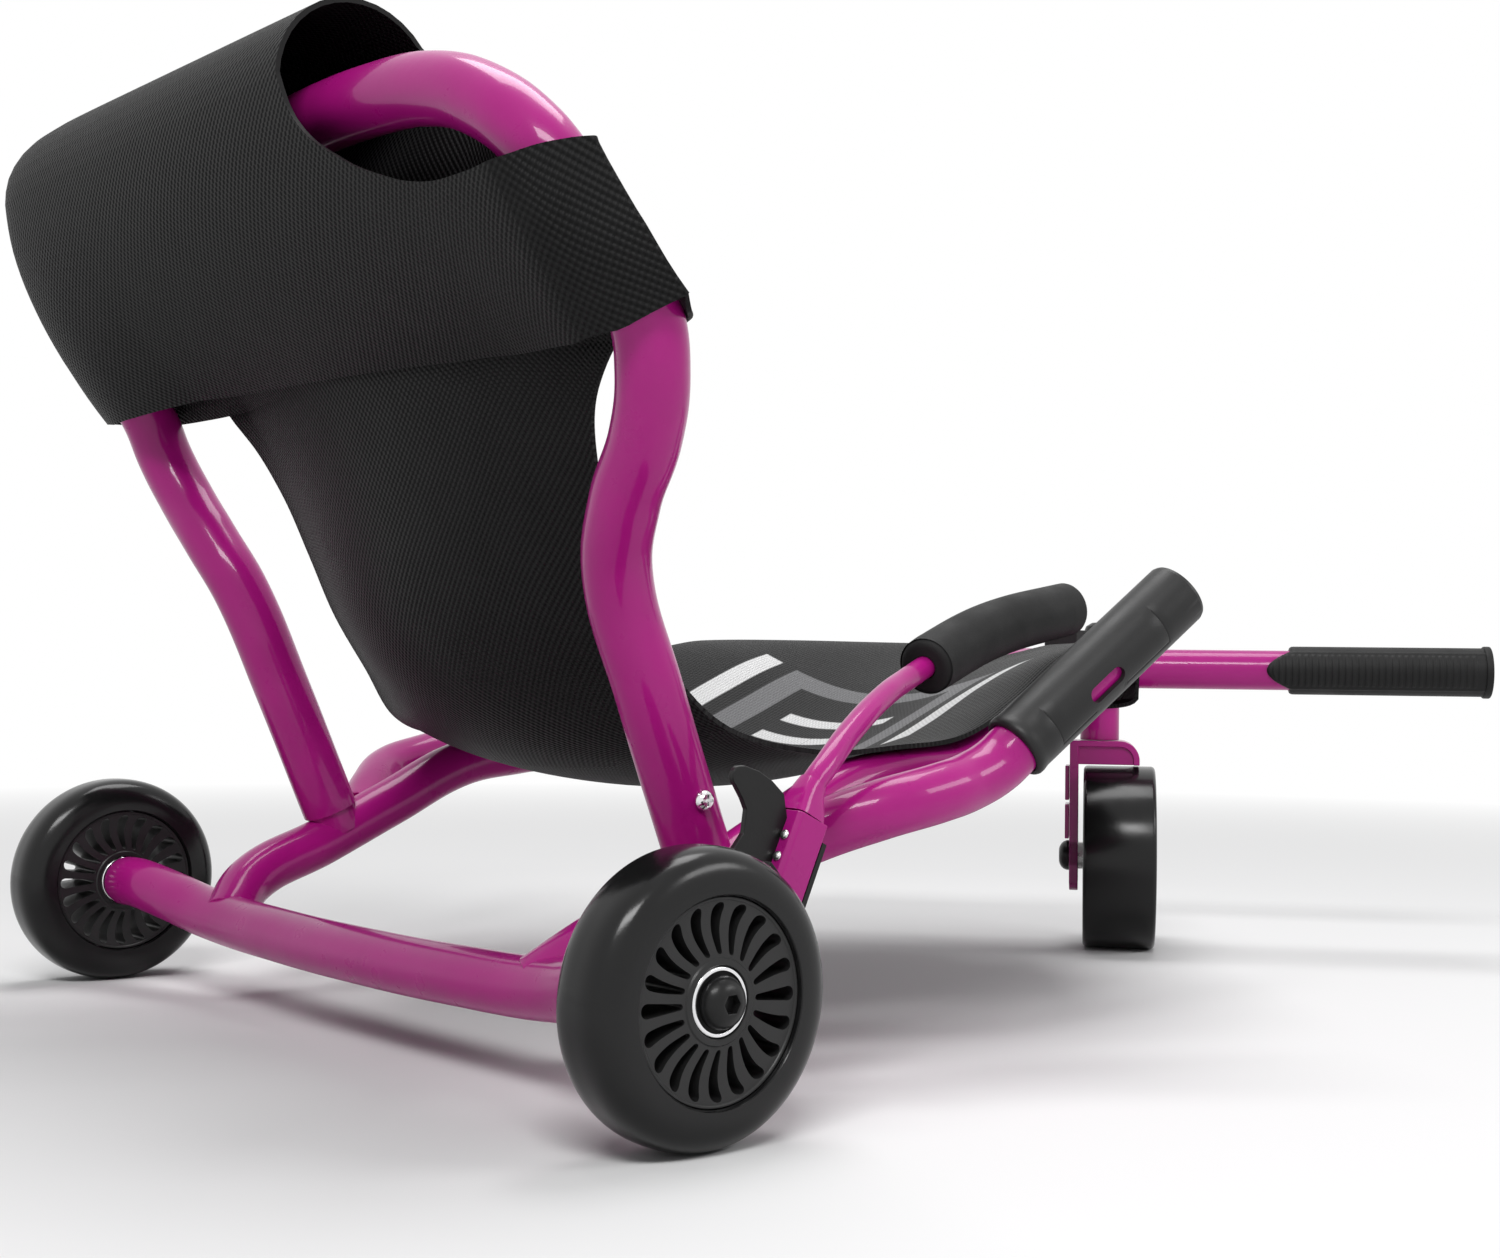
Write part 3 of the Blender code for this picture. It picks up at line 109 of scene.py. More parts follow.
BACK_LEG = [
    (0.0880, 0.171, 0.1042), (0.0560, 0.1740, 0.178), (0.0325, 0.179, 0.232),
    (0.022, 0.1974, 0.262), (0.016, 0.219, 0.288), (0.0085, 0.2325, 0.3125),
    (0.000, 0.2375, 0.336), (-0.013, 0.2370, 0.354), (-0.027, 0.2325, 0.3725),
    (-0.037, 0.2265, 0.391), (-0.0425, 0.213, 0.4075), (-0.046, 0.188, 0.4245),
    (-0.0475, 0.155, 0.437), (-0.048, 0.100, 0.4440)]
SLEEVE_MOUTH = np.array([0.238, 0.233, 0.1525])
SLEEVE_LENGTH = 0.127
SLEEVE_TOWARDS = np.array([0.333, 0.262, 0.2335])
SLEEVE_AIM = (SLEEVE_TOWARDS - SLEEVE_MOUTH) / np.linalg.norm(SLEEVE_TOWARDS - SLEEVE_MOUTH)
HANDLE = [
    (0.1135, 0.180, 0.1005), (0.135, 0.202, 0.1145), (0.158, 0.2215, 0.1250),
    (0.188, 0.229, 0.1320), (0.212, 0.2288, 0.1374), tuple(SLEEVE_MOUTH - SLEEVE_AIM * 0.012),
    tuple(SLEEVE_MOUTH), tuple(SLEEVE_MOUTH + SLEEVE_AIM * 0.122)]
ROD_START = PIN + np.array([
    math.sin(LEAN) * (CHANNEL_ABOVE + GAP) + 0.001 * math.cos(LEAN), 0,
    math.cos(LEAN) * (CHANNEL_ABOVE + GAP) - 0.001 * math.sin(LEAN)])
ROD_RADIUS = 0.0058
BRAKE_ROD = [
    tuple(ROD_START), (ROD_START[0] + 0.0060, -0.2305, ROD_START[2] + 0.0110),
    (0.116, -0.2280, 0.1475), (0.1415, -0.2180, 0.1625), (0.179, -0.2025, 0.1785),
    (0.2045, -0.1920, 0.1862), (0.2320, -0.1845, 0.1955), (0.280, -0.180, 0.2125),
    (0.338, -0.180, 0.2250)]
FOAM = [
    (0.2225, -0.1870, 0.1922), (0.2320, -0.1845, 0.1955), (0.280, -0.180, 0.2125),
    (0.345, -0.180, 0.2264)]
SHOE_RADIUS = 0.0655
SHOE_THICKNESS = 0.0040
SHOE_SPAN = (24, 46)
PLATE_OUTLINE = [(0.008, 0.0500), (0.001, 0.0560), (-0.0070, 0.0605), (-0.0150, 0.0630)]
PLATE_REAR = [(-0.0165, 0.0490), (-0.0140, 0.0440), (-0.0155, 0.0340), (-0.0225, 0.0260)]

# Sling rows from the pocket's front hem to the front fold: the edge's (ahead, up), the half
# width, the centre line's (ahead, up), and how quickly the cloth drops from its edges
SLING_ROWS = np.array([
    (0.0200, 0.3350, 0.1830, 0.0010, 0.3350, 1.3),
    (0.0310, 0.3120, 0.1600, 0.0080, 0.3080, 1.3),
    (0.0430, 0.2860, 0.1480, 0.0150, 0.2780, 1.3),
    (0.0560, 0.2530, 0.1410, 0.0240, 0.2430, 1.3),
    (0.0720, 0.2200, 0.1400, 0.0380, 0.2080, 1.3),
    (0.0940, 0.1890, 0.1415, 0.0600, 0.1750, 1.3),
    (0.1210, 0.1610, 0.1540, 0.0920, 0.1490, 1.3),
    (0.1620, 0.1500, 0.1740, 0.1350, 0.1330, 1.3),
    (0.2100, 0.1520, 0.1815, 0.1850, 0.1255, 1.4),
    (0.2560, 0.1568, 0.1835, 0.2350, 0.1260, 1.5),
    (0.3000, 0.1765, 0.1850, 0.2850, 0.1360, 1.6),
    (0.3400, 0.2000, 0.1860, 0.3300, 0.1515, 1.6),
    (0.3720, 0.2089, 0.1850, 0.3700, 0.1685, 1.8),
    (0.4050, 0.2115, 0.1830, 0.4050, 0.1820, 2.2),
    (0.4400, 0.2118, 0.1560, 0.4400, 0.1915, 2.8),
    (0.4750, 0.2110, 0.1155, 0.4750, 0.1985, 3.2),
    (0.5100, 0.2102, 0.0712, 0.5100, 0.2085, 3.0),
    (0.5360, 0.2095, 0.0402, 0.5360, 0.2095, 2.0)])
POCKET_START = 14
POCKET_DEPTH = 0.0390
# Pocket over the back tube: half widths on the rider's right and left at each height, and
# how far its rear and front sheets stand from its middle line, at the hem and at the roll
BAG_HALF = 0.2580
BAG_HEIGHTS = (0.335, 0.360, 0.378, 0.397, 0.430, 0.470, 0.505)
BAG_RIGHT = (0.2635, 0.2620, 0.2578, 0.2520, 0.2520, 0.2520, 0.2520)
BAG_LEFT = (0.2570, 0.2555, 0.2570, 0.2595, 0.2660, 0.2710, 0.2700)
BAG_BOTTOM = 0.335
BAG_TOP = 0.4545
BAG_REAR = (0.026, 0.0345)
BAG_FRONT = (0.0245, 0.0500)
BAG_SAG = 0.024
BAG_START = 0.001
BAG_LEAN = 0.049
BAG_LEAN_POWER = 2.2
# How far the rear hem hangs below the pocket's bottom, from the rider's right to the left
HEM_PLACES = (-1.0, -0.97, -0.93, -0.85, -0.70, -0.50, -0.20, 0.20, 0.60, 0.80, 0.90, 1.0)
HEM_DROPS = (-0.005, 0.001, 0.009, 0.013, 0.010, 0.005, 0.001, -0.002, -0.003, 0.003, 0.005, 0.002)
REAR_WINDOW = [
    (-0.300, 0.4000), (-0.262, 0.3990), (-0.252, 0.3985), (-0.243, 0.3960), (-0.227, 0.3905),
    (-0.193, 0.389), (-0.165, 0.392), (-0.137, 0.400), (-0.110, 0.412), (-0.086, 0.430),
    (-0.0735, 0.456), (-0.0740, 0.520), (-0.300, 0.520)]
FRONT_WINDOW = [
    (-0.300, 0.400), (-0.262, 0.4005), (-0.240, 0.4040), (-0.215, 0.4100), (-0.190, 0.4180),
    (-0.165, 0.4280), (-0.140, 0.4390), (-0.110, 0.4510), (-0.085, 0.4640), (-0.0735, 0.4830),
    (-0.0740, 0.520), (-0.300, 0.520)]

CAMERA_PLACE = (-0.86445, 0.83990, 0.18616)
CAMERA_TURN = (91.4291, -0.7076, -131.4472)
CAMERA_LENS = 46.58
# Lamps: name, place, the point that it faces, its two sides and its watts
LAMPS = (
    ("key", (-1.3, 1.5, 1.9), (0, 0.05, 0.15), (1.3, 0.5), 33),
    ("side", (-1.7, -0.9, 1.2), (0, 0, 0.15), (1.0, 0.5), 11),
    ("top", (0.3, -0.2, 2.3), (0, 0, 0.1), (1.5, 1.0), 29))

X = np.array([1.0, 0.0, 0.0])
Y = np.array([0.0, 1.0, 0.0])
Z = np.array([0.0, 0.0, 1.0])


class DrifterSizes(bpy.types.PropertyGroup):
    """Sizes that a user would change."""
    tube: FloatProperty(
        name="Frame tube radius", description="Outer radius of the bent frame tubes",
        default=0.0143, unit="LENGTH")
    back_tube: FloatProperty(
        name="Back tube radius", description="Outer radius of the back loop", default=0.0159,
        unit="LENGTH")
    rear_wheel: FloatProperty(
        name="Rear wheel radius", description="Radius over the rear tyres", default=0.060,
        unit="LENGTH")
    rear_width: FloatProperty(
        name="Rear tyre width", description="Width over the rear tyres", default=0.036,
        unit="LENGTH")
    rear_hub: FloatProperty(
        name="Rear hub radius", description="Radius of the slotted hubs", default=0.041,
        unit="LENGTH")
    front_wheel: FloatProperty(
        name="Front wheel radius", description="Radius of the front tyre", default=0.0635,
        unit="LENGTH")
    front_width: FloatProperty(
        name="Front tyre width", description="Width of the front tyre", default=0.0492,
        unit="LENGTH")
    slots: IntProperty(
        name="Hub slots", description="Slots round each rear hub", default=20, min=8, max=40)
    ribs: IntProperty(
        name="Grip ribs", description="Cross ribs on each foot grip", default=30, min=4, max=60)
    cloth: FloatProperty(
        name="Cloth thickness", description="Thickness of the sling", default=0.0024,
        unit="LENGTH")


class DrifterColours(bpy.types.PropertyGroup):
    """Colours of the finishes, linear RGB."""
    paint: FloatVectorProperty(
        name="Paint", description="Frame and fork paint", subtype="COLOR",
        default=(0.39, 0.0070, 0.198), min=0, max=1)
    urethane: FloatVectorProperty(
        name="Tyres", description="Cast tyres", subtype="COLOR", default=(0.006, 0.006, 0.0062),
        min=0, max=1)
    plastic: FloatVectorProperty(
        name="Plastic", description="Hubs, head and sleeves", subtype="COLOR",
        default=(0.014, 0.014, 0.0142), min=0, max=1)
    cloth: FloatVectorProperty(
        name="Cloth", description="Yarn of the sling", subtype="COLOR",
        default=(0.0075, 0.0075, 0.0077), min=0, max=1)
    floor: FloatVectorProperty(
        name="Floor", description="Studio floor near the object", subtype="COLOR",
        default=(0.82, 0.82, 0.82), min=0, max=1)


def sizes():
    return bpy.context.scene.drifter_sizes


def colours():
    return bpy.context.scene.drifter_colours


# Shapes

def world(route):
    """World points of (ahead, left, up) rows: x = left, y = AXLE_Y - ahead, z = up."""
    route = np.asarray(route, dtype=float)
    return np.stack([route[..., 1], AXLE_Y - route[..., 0], route[..., 2]], axis=-1)


def mirrored(route):
    return [(ahead, -left, up) for ahead, left, up in route]


def smooth_route(route, steps=12):
    """Cubic curve through the points, as the packed tubes follow.

    At each point the tangent t is the sum of the unit directions to both neighbours, and
    each handle is t times its side's length over 2.5614 |t|.
    """
    points = np.asarray(route, dtype=float)
    before = np.vstack([2 * points[0] - points[1], points[:-1]])
    after = np.vstack([points[1:], 2 * points[-1] - points[-2]])
    back = points - before
    ahead = after - points
    back_length = np.linalg.norm(back, axis=1, keepdims=True)
    ahead_length = np.linalg.norm(ahead, axis=1, keepdims=True)
    tangent = back / back_length + ahead / ahead_length
    scale = np.linalg.norm(tangent, axis=1, keepdims=True) * 2.5614
    left = points - tangent * np.minimum(back_length, 5 * ahead_length) / scale
    right = points + tangent * np.minimum(ahead_length, 5 * back_length) / scale
    t = (np.arange(steps) / steps)[None, :, None]
    a, b, c, d = points[:-1, None], right[:-1, None], left[1:, None], points[1:, None]
    curve = (1 - t) ** 3 * a + 3 * (1 - t) ** 2 * t * b + 3 * (1 - t) * t ** 2 * c + t ** 3 * d
    return np.vstack([curve.reshape(-1, points.shape[1]), points[-1:]])


def grid_faces(rows, columns, around=False):
    """Quads of a grid of rows x columns points; around also joins the last column to the first."""
    index = np.arange(rows * columns).reshape(rows, columns)
    if around:
        index = np.hstack([index, index[:, :1]])
    return np.stack(
        [index[:-1, :-1], index[:-1, 1:], index[1:, 1:], index[1:, :-1]], axis=-1).reshape(-1, 4)


def ringed(path, tangent, radius, sides, reference):
    """Rings of a given radius about each point, square to its tangent."""
    across = np.cross(tangent, reference)
    across /= np.linalg.norm(across, axis=1, keepdims=True)
    other = np.cross(across, tangent)
    turn = np.linspace(0, 2 * np.pi, sides, endpoint=False)
    radius = np.broadcast_to(np.asarray(radius, dtype=float), (len(path),))[:, None, None]
    turn = turn[None, :, None]
    ring = np.cos(turn) * across[:, None] + np.sin(turn) * other[:, None]
    points = path[:, None] + radius * ring
    return points.reshape(-1, 3), grid_faces(len(path), sides, around=True)


def capped_tube(route, radius, steps=12, sides=40, reference=Z, edge=0.001, bores=(0, 0)):
    """Bent tube whose two ends are rounded over by edge, and closed or bored out.

    A bore is the radius of the hole at that end; it runs 12 mm deep and has a floor.
    """
    path = smooth_route(route, steps)
    tangent = np.gradient(path, axis=0)
    tangent /= np.linalg.norm(tangent, axis=1, keepdims=True)
    rings = [(path, tangent, np.full(len(path), radius))]
    for first, bore in ((True, bores[0]), (False, bores[1])):
        end = path[0] if first else path[-1]
        outward = -tangent[0] if first else tangent[-1]
        turn = np.linspace(0, np.pi / 2, 5)[1:]
        shrink = radius - edge * (1 - np.cos(turn))
        back = -edge * (1 - np.sin(turn))
        if bore:
            shrink = np.append(shrink, [bore, bore, 0])
            back = np.append(back, [0, -0.012, -0.012])
        else:
            shrink = np.append(shrink, 0)
            back = np.append(back, 0)
        centres = end + outward * back[:, None]
        axis = np.repeat(tangent[:1] if first else tangent[-1:], len(shrink), axis=0)
        if first:
            rings.insert(0, (centres[::-1], axis, shrink[::-1]))
        else:
            rings.append((centres, axis, shrink))
    if edge:
        middle = rings[1]
        path = middle[0].copy()
        path[0] += middle[1][0] * edge
        path[-1] -= middle[1][-1] * edge
        rings[1] = (path, middle[1], middle[2])
    joined = [np.concatenate(part) for part in zip(*rings)]
    return ringed(*joined, sides, reference)


def lathe(profile, sides=64):
    """Turned shape about local Z from (radius, height) rows."""
    profile = np.asarray(profile, dtype=float)
    turn = np.linspace(0, 2 * np.pi, sides, endpoint=False)
    points = np.stack([
        profile[:, :1] * np.cos(turn), profile[:, :1] * np.sin(turn),
        np.repeat(profile[:, 1:], sides, axis=1)], axis=-1)
    return points.reshape(-1, 3), grid_faces(len(profile), sides, around=True)


def blend(first, second, share):
    """Value between two others."""
    return first + (second - first) * share


def rounded(profile, radius, steps=5):
    """The profile with each inner corner cut off by a curve that starts radius before it."""
    profile = np.asarray(profile, dtype=float)
    out = [profile[:1]]
    t = np.linspace(0, 1, steps)[:, None]
    for before, corner, after in zip(profile[:-2], profile[1:-1], profile[2:]):
        back = before - corner
        ahead = after - corner
        reach = min(radius, 0.45 * np.linalg.norm(back), 0.45 * np.linalg.norm(ahead))
        start = corner + back / max(np.linalg.norm(back), 1e-9) * reach
        end = corner + ahead / max(np.linalg.norm(ahead), 1e-9) * reach
        out.append((1 - t) ** 2 * start + 2 * t * (1 - t) * corner + t ** 2 * end)
    out.append(profile[-1:])
    return np.vstack(out)


def slab(outline, low, high):
    """Prism over a flat outline in local XY, from one height to another."""
    outline = np.asarray(outline, dtype=float)
    count = len(outline)
    bottom = np.column_stack([outline, np.full(count, low)])
    top = np.column_stack([outline, np.full(count, high)])
    index = np.arange(count)
    following = np.roll(index, -1)
    walls = np.stack([index, following, following + count, index + count], axis=-1).tolist()
    return np.vstack([bottom, top]), walls + [list(index[::-1]), list(index + count)]


def arc(centre, radius, start, end, count):
    """Points on an arc between two angles in degrees."""
    turn = np.radians(np.linspace(start, end, count))
    x, y = centre
    return [(x + radius * c, y + radius * s) for c, s in zip(np.cos(turn), np.sin(turn))]


def full_arc(start, radius, fullness, count):
    """Half section of a tyre: |x|^n + |y|^n = r^n, squarer than a circle for n above 2."""
    turn = np.linspace(np.pi / 2, -np.pi / 2, count)
    x, y = np.cos(turn), np.sin(turn)
    size = (np.abs(x) ** fullness + np.abs(y) ** fullness) ** (1 / fullness)
    return [(start + radius * a / s, radius * b / s) for a, b, s in zip(x, y, size)]


def matrix_of(origin, x, y):
    """Placing matrix from an origin and two unit axes; the third is x times y."""
    result = np.eye(4)
    result[:3, 0] = x
    result[:3, 1] = y
    result[:3, 2] = np.cross(x, y)
    result[:3, 3] = origin
    return result


def placed(part, *matrices):
    """The part's points moved by the matrices, outermost first."""
    points, faces = part
    points = np.asarray(points, dtype=float)
    for matrix in matrices[::-1]:
        points = points @ matrix[:3, :3].T + matrix[:3, 3]
    return points, faces


def joined(*parts):
    """Several parts as one list of points and faces."""
    points = []
    faces = []
    count = 0
    for part_points, part_faces in parts:
        points.append(part_points)
        faces += [[int(k) + count for k in face] for face in part_faces]
        count += len(part_points)
    return np.vstack(points), faces


STEERING = matrix_of(
    (0, AXLE_Y - WHEELBASE, 0), np.array([math.cos(STEER), math.sin(STEER), 0]),
    np.array([-math.sin(STEER), math.cos(STEER), 0]))
BRAKE = matrix_of(world(PIN), X, Y)
LEANING = matrix_of((0, 0, 0), X, np.array([0, math.cos(LEAN), math.sin(LEAN)]))


def new_mesh(name, part):
    """Mesh of a part's points and faces."""
    points, faces = part
    if isinstance(faces, np.ndarray):
        faces = faces.tolist()
    mesh = bpy.data.meshes.new(name)
    mesh.from_pydata(np.asarray(points).tolist(), [], faces)
    return mesh


def new_object(name, data):
    """Object of a mesh, a lamp or a camera, linked to the scene."""
    result = bpy.data.objects.new(name, data)
    bpy.context.scene.collection.objects.link(result)
    return result


def make_piece(name, part, slot, body, packed_node, uv=None, sharp=38, bevel=0):
    """Object from a part: doubles merged, faces outwards, smooth but for sharp edges.

    Its finish is that of its material slot, and it stands for one node of the packed model.
    """
    mesh = new_mesh(name, part)
    if uv is not None:
        layer = mesh.uv_layers.new(name="cloth")
        corners = np.empty(len(mesh.loops), dtype=np.int32)
        mesh.loops.foreach_get("vertex_index", corners)
        layer.data.foreach_set("uv", uv[corners].astype(np.float32).ravel())
    work = bmesh.new()
    work.from_mesh(mesh)
    bmesh.ops.remove_doubles(work, verts=work.verts, dist=0.00001)
    bmesh.ops.dissolve_degenerate(work, edges=work.edges, dist=0.000002)
    bmesh.ops.recalc_face_normals(work, faces=work.faces)
    work.to_mesh(mesh)
    work.free()
    mesh.shade_smooth()
    mesh.set_sharp_from_angle(angle=math.radians(sharp))
    piece = new_object(name, mesh)
    mesh.materials.append(FINISHES[slot])
    if bevel:
        step = piece.modifiers.new("edges", "BEVEL")
        step.width = bevel
        step.segments = 3
        step.limit_method = "ANGLE"
        step.angle_limit = math.radians(32)
        step.harden_normals = True
    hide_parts(packed_node)
    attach(piece, body)
    return piece


# Finishes

def feed(tree, socket, value):
    """Link an output to the socket, or set the socket to a plain value."""
    if hasattr(value, "is_output"):
        tree.links.new(value, socket)
    else:
        socket.default_value = value


def node(tree, kind, **inputs):
    """New node whose inputs are given by name."""
    result = tree.nodes.new(kind)
    for name, value in inputs.items():
        feed(tree, result.inputs[name.replace("_", " ")], value)
    return result


def maths(tree, operation, first, second=0.0, clamp=False):
    """Math node on two values or sockets."""
    result = tree.nodes.new("ShaderNodeMath")
    result.operation = operation
    result.use_clamp = clamp
    for socket, value in zip(result.inputs, (first, second)):
        feed(tree, socket, value)
    return result.outputs[0]


def spread(tree, value, low, high, out_low, out_high):
    """Map Range from low..high to out_low..out_high."""
    result = node(
        tree, "ShaderNodeMapRange", Value=value, From_Min=low, From_Max=high, To_Min=out_low,
        To_Max=out_high)
    return result.outputs["Result"]


def mixed(tree, share, first, second):
    """Colour between two colours or sockets."""
    result = tree.nodes.new("ShaderNodeMix")
    result.data_type = "RGBA"
    for key, value in ((0, share), (6, first), (7, second)):
        feed(tree, result.inputs[key], value)
    return result.outputs[2]


def noise(tree, place, scale, detail=3.0, roughness=0.5):
    """Cloudy value from 0 to 1."""
    result = node(
        tree, "ShaderNodeTexNoise", Vector=place, Scale=scale, Detail=detail, Roughness=roughness)
    return result.outputs["Fac"]


def opaque(colour, share=1.0):
    """Colour with full alpha, darkened or lightened by a share."""
    return (colour[0] * share, colour[1] * share, colour[2] * share, 1.0)


def darker(colour, share):
    """Three values of a colour times a share."""
    return opaque(colour, share)[:3]


def product(tree, first, second):
    """Product of two values or sockets."""
    return maths(tree, "MULTIPLY", first, second)


def new_finish(name):
    """Empty material: its tree, its shader and the Object coordinates."""
    finish = bpy.data.materials.new(name)
    finish.use_nodes = True
    tree = finish.node_tree
    shader = tree.nodes["Principled BSDF"]
    place = tree.nodes.new("ShaderNodeTexCoord").outputs["Object"]
    return finish, tree, shader, place


def bumped(tree, shader, height, distance):
    """Relief of a height in metres on the shader's normal."""
    bump = node(tree, "ShaderNodeBump", Height=height, Strength=1.0, Distance=distance)
    tree.links.new(bump.outputs["Normal"], shader.inputs["Normal"])


def moulded(
        name, colour, rough, grain=900.0, depth=0.00004, metallic=0.0, tone=0.12, coat=0.0,
        shine=0.5):
    """Finish with cloudy tone, uneven gloss from rough[0] to rough[1] and a fine grain."""
    finish, tree, shader, place = new_finish(name)
    cloud = noise(tree, place, 26.0, 4.0)
    shade = mixed(
        tree, spread(tree, cloud, 0.3, 0.7, 0, 1), opaque(colour, 1 - tone), opaque(colour, 1 + tone))
    tree.links.new(shade, shader.inputs["Base Color"])
    smear = noise(tree, place, 60.0, 5.0, 0.6)
    tree.links.new(spread(tree, smear, 0.3, 0.7, rough[0], rough[1]), shader.inputs["Roughness"])
    shader.inputs["Metallic"].default_value = metallic
    shader.inputs["Coat Weight"].default_value = coat
    shader.inputs["Coat Roughness"].default_value = 0.06
    shader.inputs["Specular IOR Level"].default_value = shine
    bumped(tree, shader, noise(tree, place, grain, 2.0), depth)
    return finish


def gloss_paint():
    """Baked gloss paint: clear coat, faint orange peel and a slow change of tone."""
    return moulded(
        "gloss_paint", colours().paint, (0.26, 0.34), grain=210.0, depth=0.00006, tone=0.05, coat=0.4,
        shine=0.12)


def woven_cloth(name, ribbed):
    """Coated plain weave on the cloth's own UV map, in metres; a ribbed one has lengthwise cords."""
    finish, tree, shader, _ = new_finish(name)
    uv = tree.nodes.new("ShaderNodeUVMap")
    uv.uv_map = "cloth"
    split = node(tree, "ShaderNodeSeparateXYZ", Vector=uv.outputs["UV"])
    across, along = split.outputs["X"], split.outputs["Y"]
    pitch = 0.0028 if ribbed else 0.0038
    turn = 2 * math.pi / pitch
    wave_across = maths(tree, "SINE", product(tree, across, turn))
    wave_along = maths(tree, "SINE", product(tree, along, turn * 0.92))
    weave = product(tree, wave_across, wave_along)
    if ribbed:
        cord = maths(tree, "ABSOLUTE", maths(tree, "SINE", product(tree, across, turn * 0.5)))
        weave = maths(tree, "ADD", product(tree, weave, 0.45), product(tree, cord, 1.1))
    cloud = noise(tree, uv.outputs["UV"], 38.0, 5.0, 0.6)
    thread = spread(tree, weave, -1.0, 1.0, 0.0, 1.0)
    colour = colours().cloth
    shade = mixed(tree, thread, opaque(colour, 0.25), opaque(colour, 1.6))
    worn = mixed(tree, spread(tree, cloud, 0.35, 0.75, 0.0, 0.35), shade, opaque(colour, 1.9))
    return finish, tree, shader, worn, weave, (across, along)


def band(tree, value, low, high, soft=0.0006):
    """1 between two values, falling to 0 within soft of them."""
    rise = spread(tree, value, low - soft, low + soft, 0, 1)
    fall = spread(tree, value, high - soft, high + soft, 1, 0)
    return maths(tree, "MULTIPLY", rise, fall, clamp=True)


def dressed_cloth(finish, tree, shader, colour, weave, depth):
    """Give the cloth its colour, its dull gloss and the relief of its weave."""
    tree.links.new(colour, shader.inputs["Base Color"])
    shader.inputs["Roughness"].default_value = 0.5
    shader.inputs["Specular IOR Level"].default_value = 0.12
    bumped(tree, shader, weave, depth)
    return finish


def back_cloth():
    """Cloth of the pocket, bare where a printed panel would sit."""
    finish, tree, shader, shade, weave, _ = woven_cloth("back_cloth", ribbed=False)
    return dressed_cloth(finish, tree, shader, shade, weave, 0.0005)


def seat_cloth():
    """Ribbed seat cloth with a plain printed frame: pale bars and a grey band."""
    finish, tree, shader, shade, weave, (across, along) = woven_cloth("seat_cloth", ribbed=True)
    start, end, rim = 0.800, 0.925, 0.016
    middle = (start + end) / 2
    aside = maths(tree, "ABSOLUTE", across)
    off = maths(tree, "ABSOLUTE", maths(tree, "SUBTRACT", along, middle))
    length = band(tree, along, start, end)
    outer = product(tree, band(tree, across, -0.090, 0.090), length)
    inner = product(
        tree, band(tree, across, -0.066, 0.066), band(tree, along, start + rim, end - rim))
    ring = maths(tree, "SUBTRACT", outer, inner, clamp=True)
    bars = product(tree, band(tree, aside, 0.106, 0.126), length)
    stripes = product(tree, band(tree, aside, 0.0, 0.046), band(tree, off, 0.008, 0.018))
    pale = maths(tree, "ADD", bars, stripes, clamp=True)
    grain = spread(tree, weave, -0.4, 1.0, 0.72, 1.0)
    printed = mixed(tree, product(tree, ring, grain), shade, (0.17, 0.17, 0.175, 1))
    printed = mixed(tree, product(tree, pale, grain), printed, (0.72, 0.72, 0.72, 1))
    return dressed_cloth(finish, tree, shader, printed, weave, 0.0004)


FINISHES = {}


def make_finishes():
    """Every finish of the object, by the name of the record's material slot."""
    plastic = colours().plastic
    FINISHES.update({
        "magenta_paint": gloss_paint(),
        "tyre_urethane": moulded(
            "cast_tyre", colours().urethane, (0.16, 0.24), grain=420.0, depth=0.00002, shine=0.3),
        "hub_plastic": moulded("hub_plastic", plastic, (0.30, 0.42), grain=1400.0, shine=0.35),
        "head_plastic": moulded(
            "head_plastic", plastic, (0.42, 0.52), grain=1600.0, depth=0.00006, shine=0.3),
        "sleeve_plastic": moulded(
            "sleeve_plastic", plastic, (0.36, 0.46), grain=1500.0, depth=0.00005, shine=0.3),
        "grip_rubber": moulded(
            "grip_rubber", darker(plastic, 0.7), (0.48, 0.60), grain=1100.0, shine=0.2),
        "grip_foam": moulded(
            "grip_foam", darker(plastic, 0.9), (0.55, 0.70), grain=1900.0, depth=0.00016,
            tone=0.2, shine=0.2),
        "shoe_rubber": moulded(
            "shoe_rubber", darker(plastic, 0.6), (0.55, 0.7), grain=1300.0, shine=0.2),
        "black_steel": moulded(
            "black_steel", darker(plastic, 0.7), (0.28, 0.38), grain=700.0, shine=0.25),
        "zinc_steel": moulded(
            "zinc_steel", (0.62, 0.62, 0.61), (0.24, 0.36), grain=800.0, metallic=1.0, tone=0.08),
        "chrome": moulded(
            "chrome", (0.80, 0.80, 0.81), (0.08, 0.16), grain=500.0, depth=0.00001, metallic=1.0,
            tone=0.03),
        "bush_bronze": moulded(
            "bush_bronze", (0.50, 0.30, 0.12), (0.32, 0.45), metallic=1.0),
        "sling_fabric": back_cloth(),
    })


# Frame

def back_foot():
    """Foot of the back loop's left leg and the unit direction in which the leg rises."""
    foot = np.array(BACK_LEG[0])
    rise = np.array(BACK_LEG[1]) - foot
    return foot, rise / np.linalg.norm(rise)


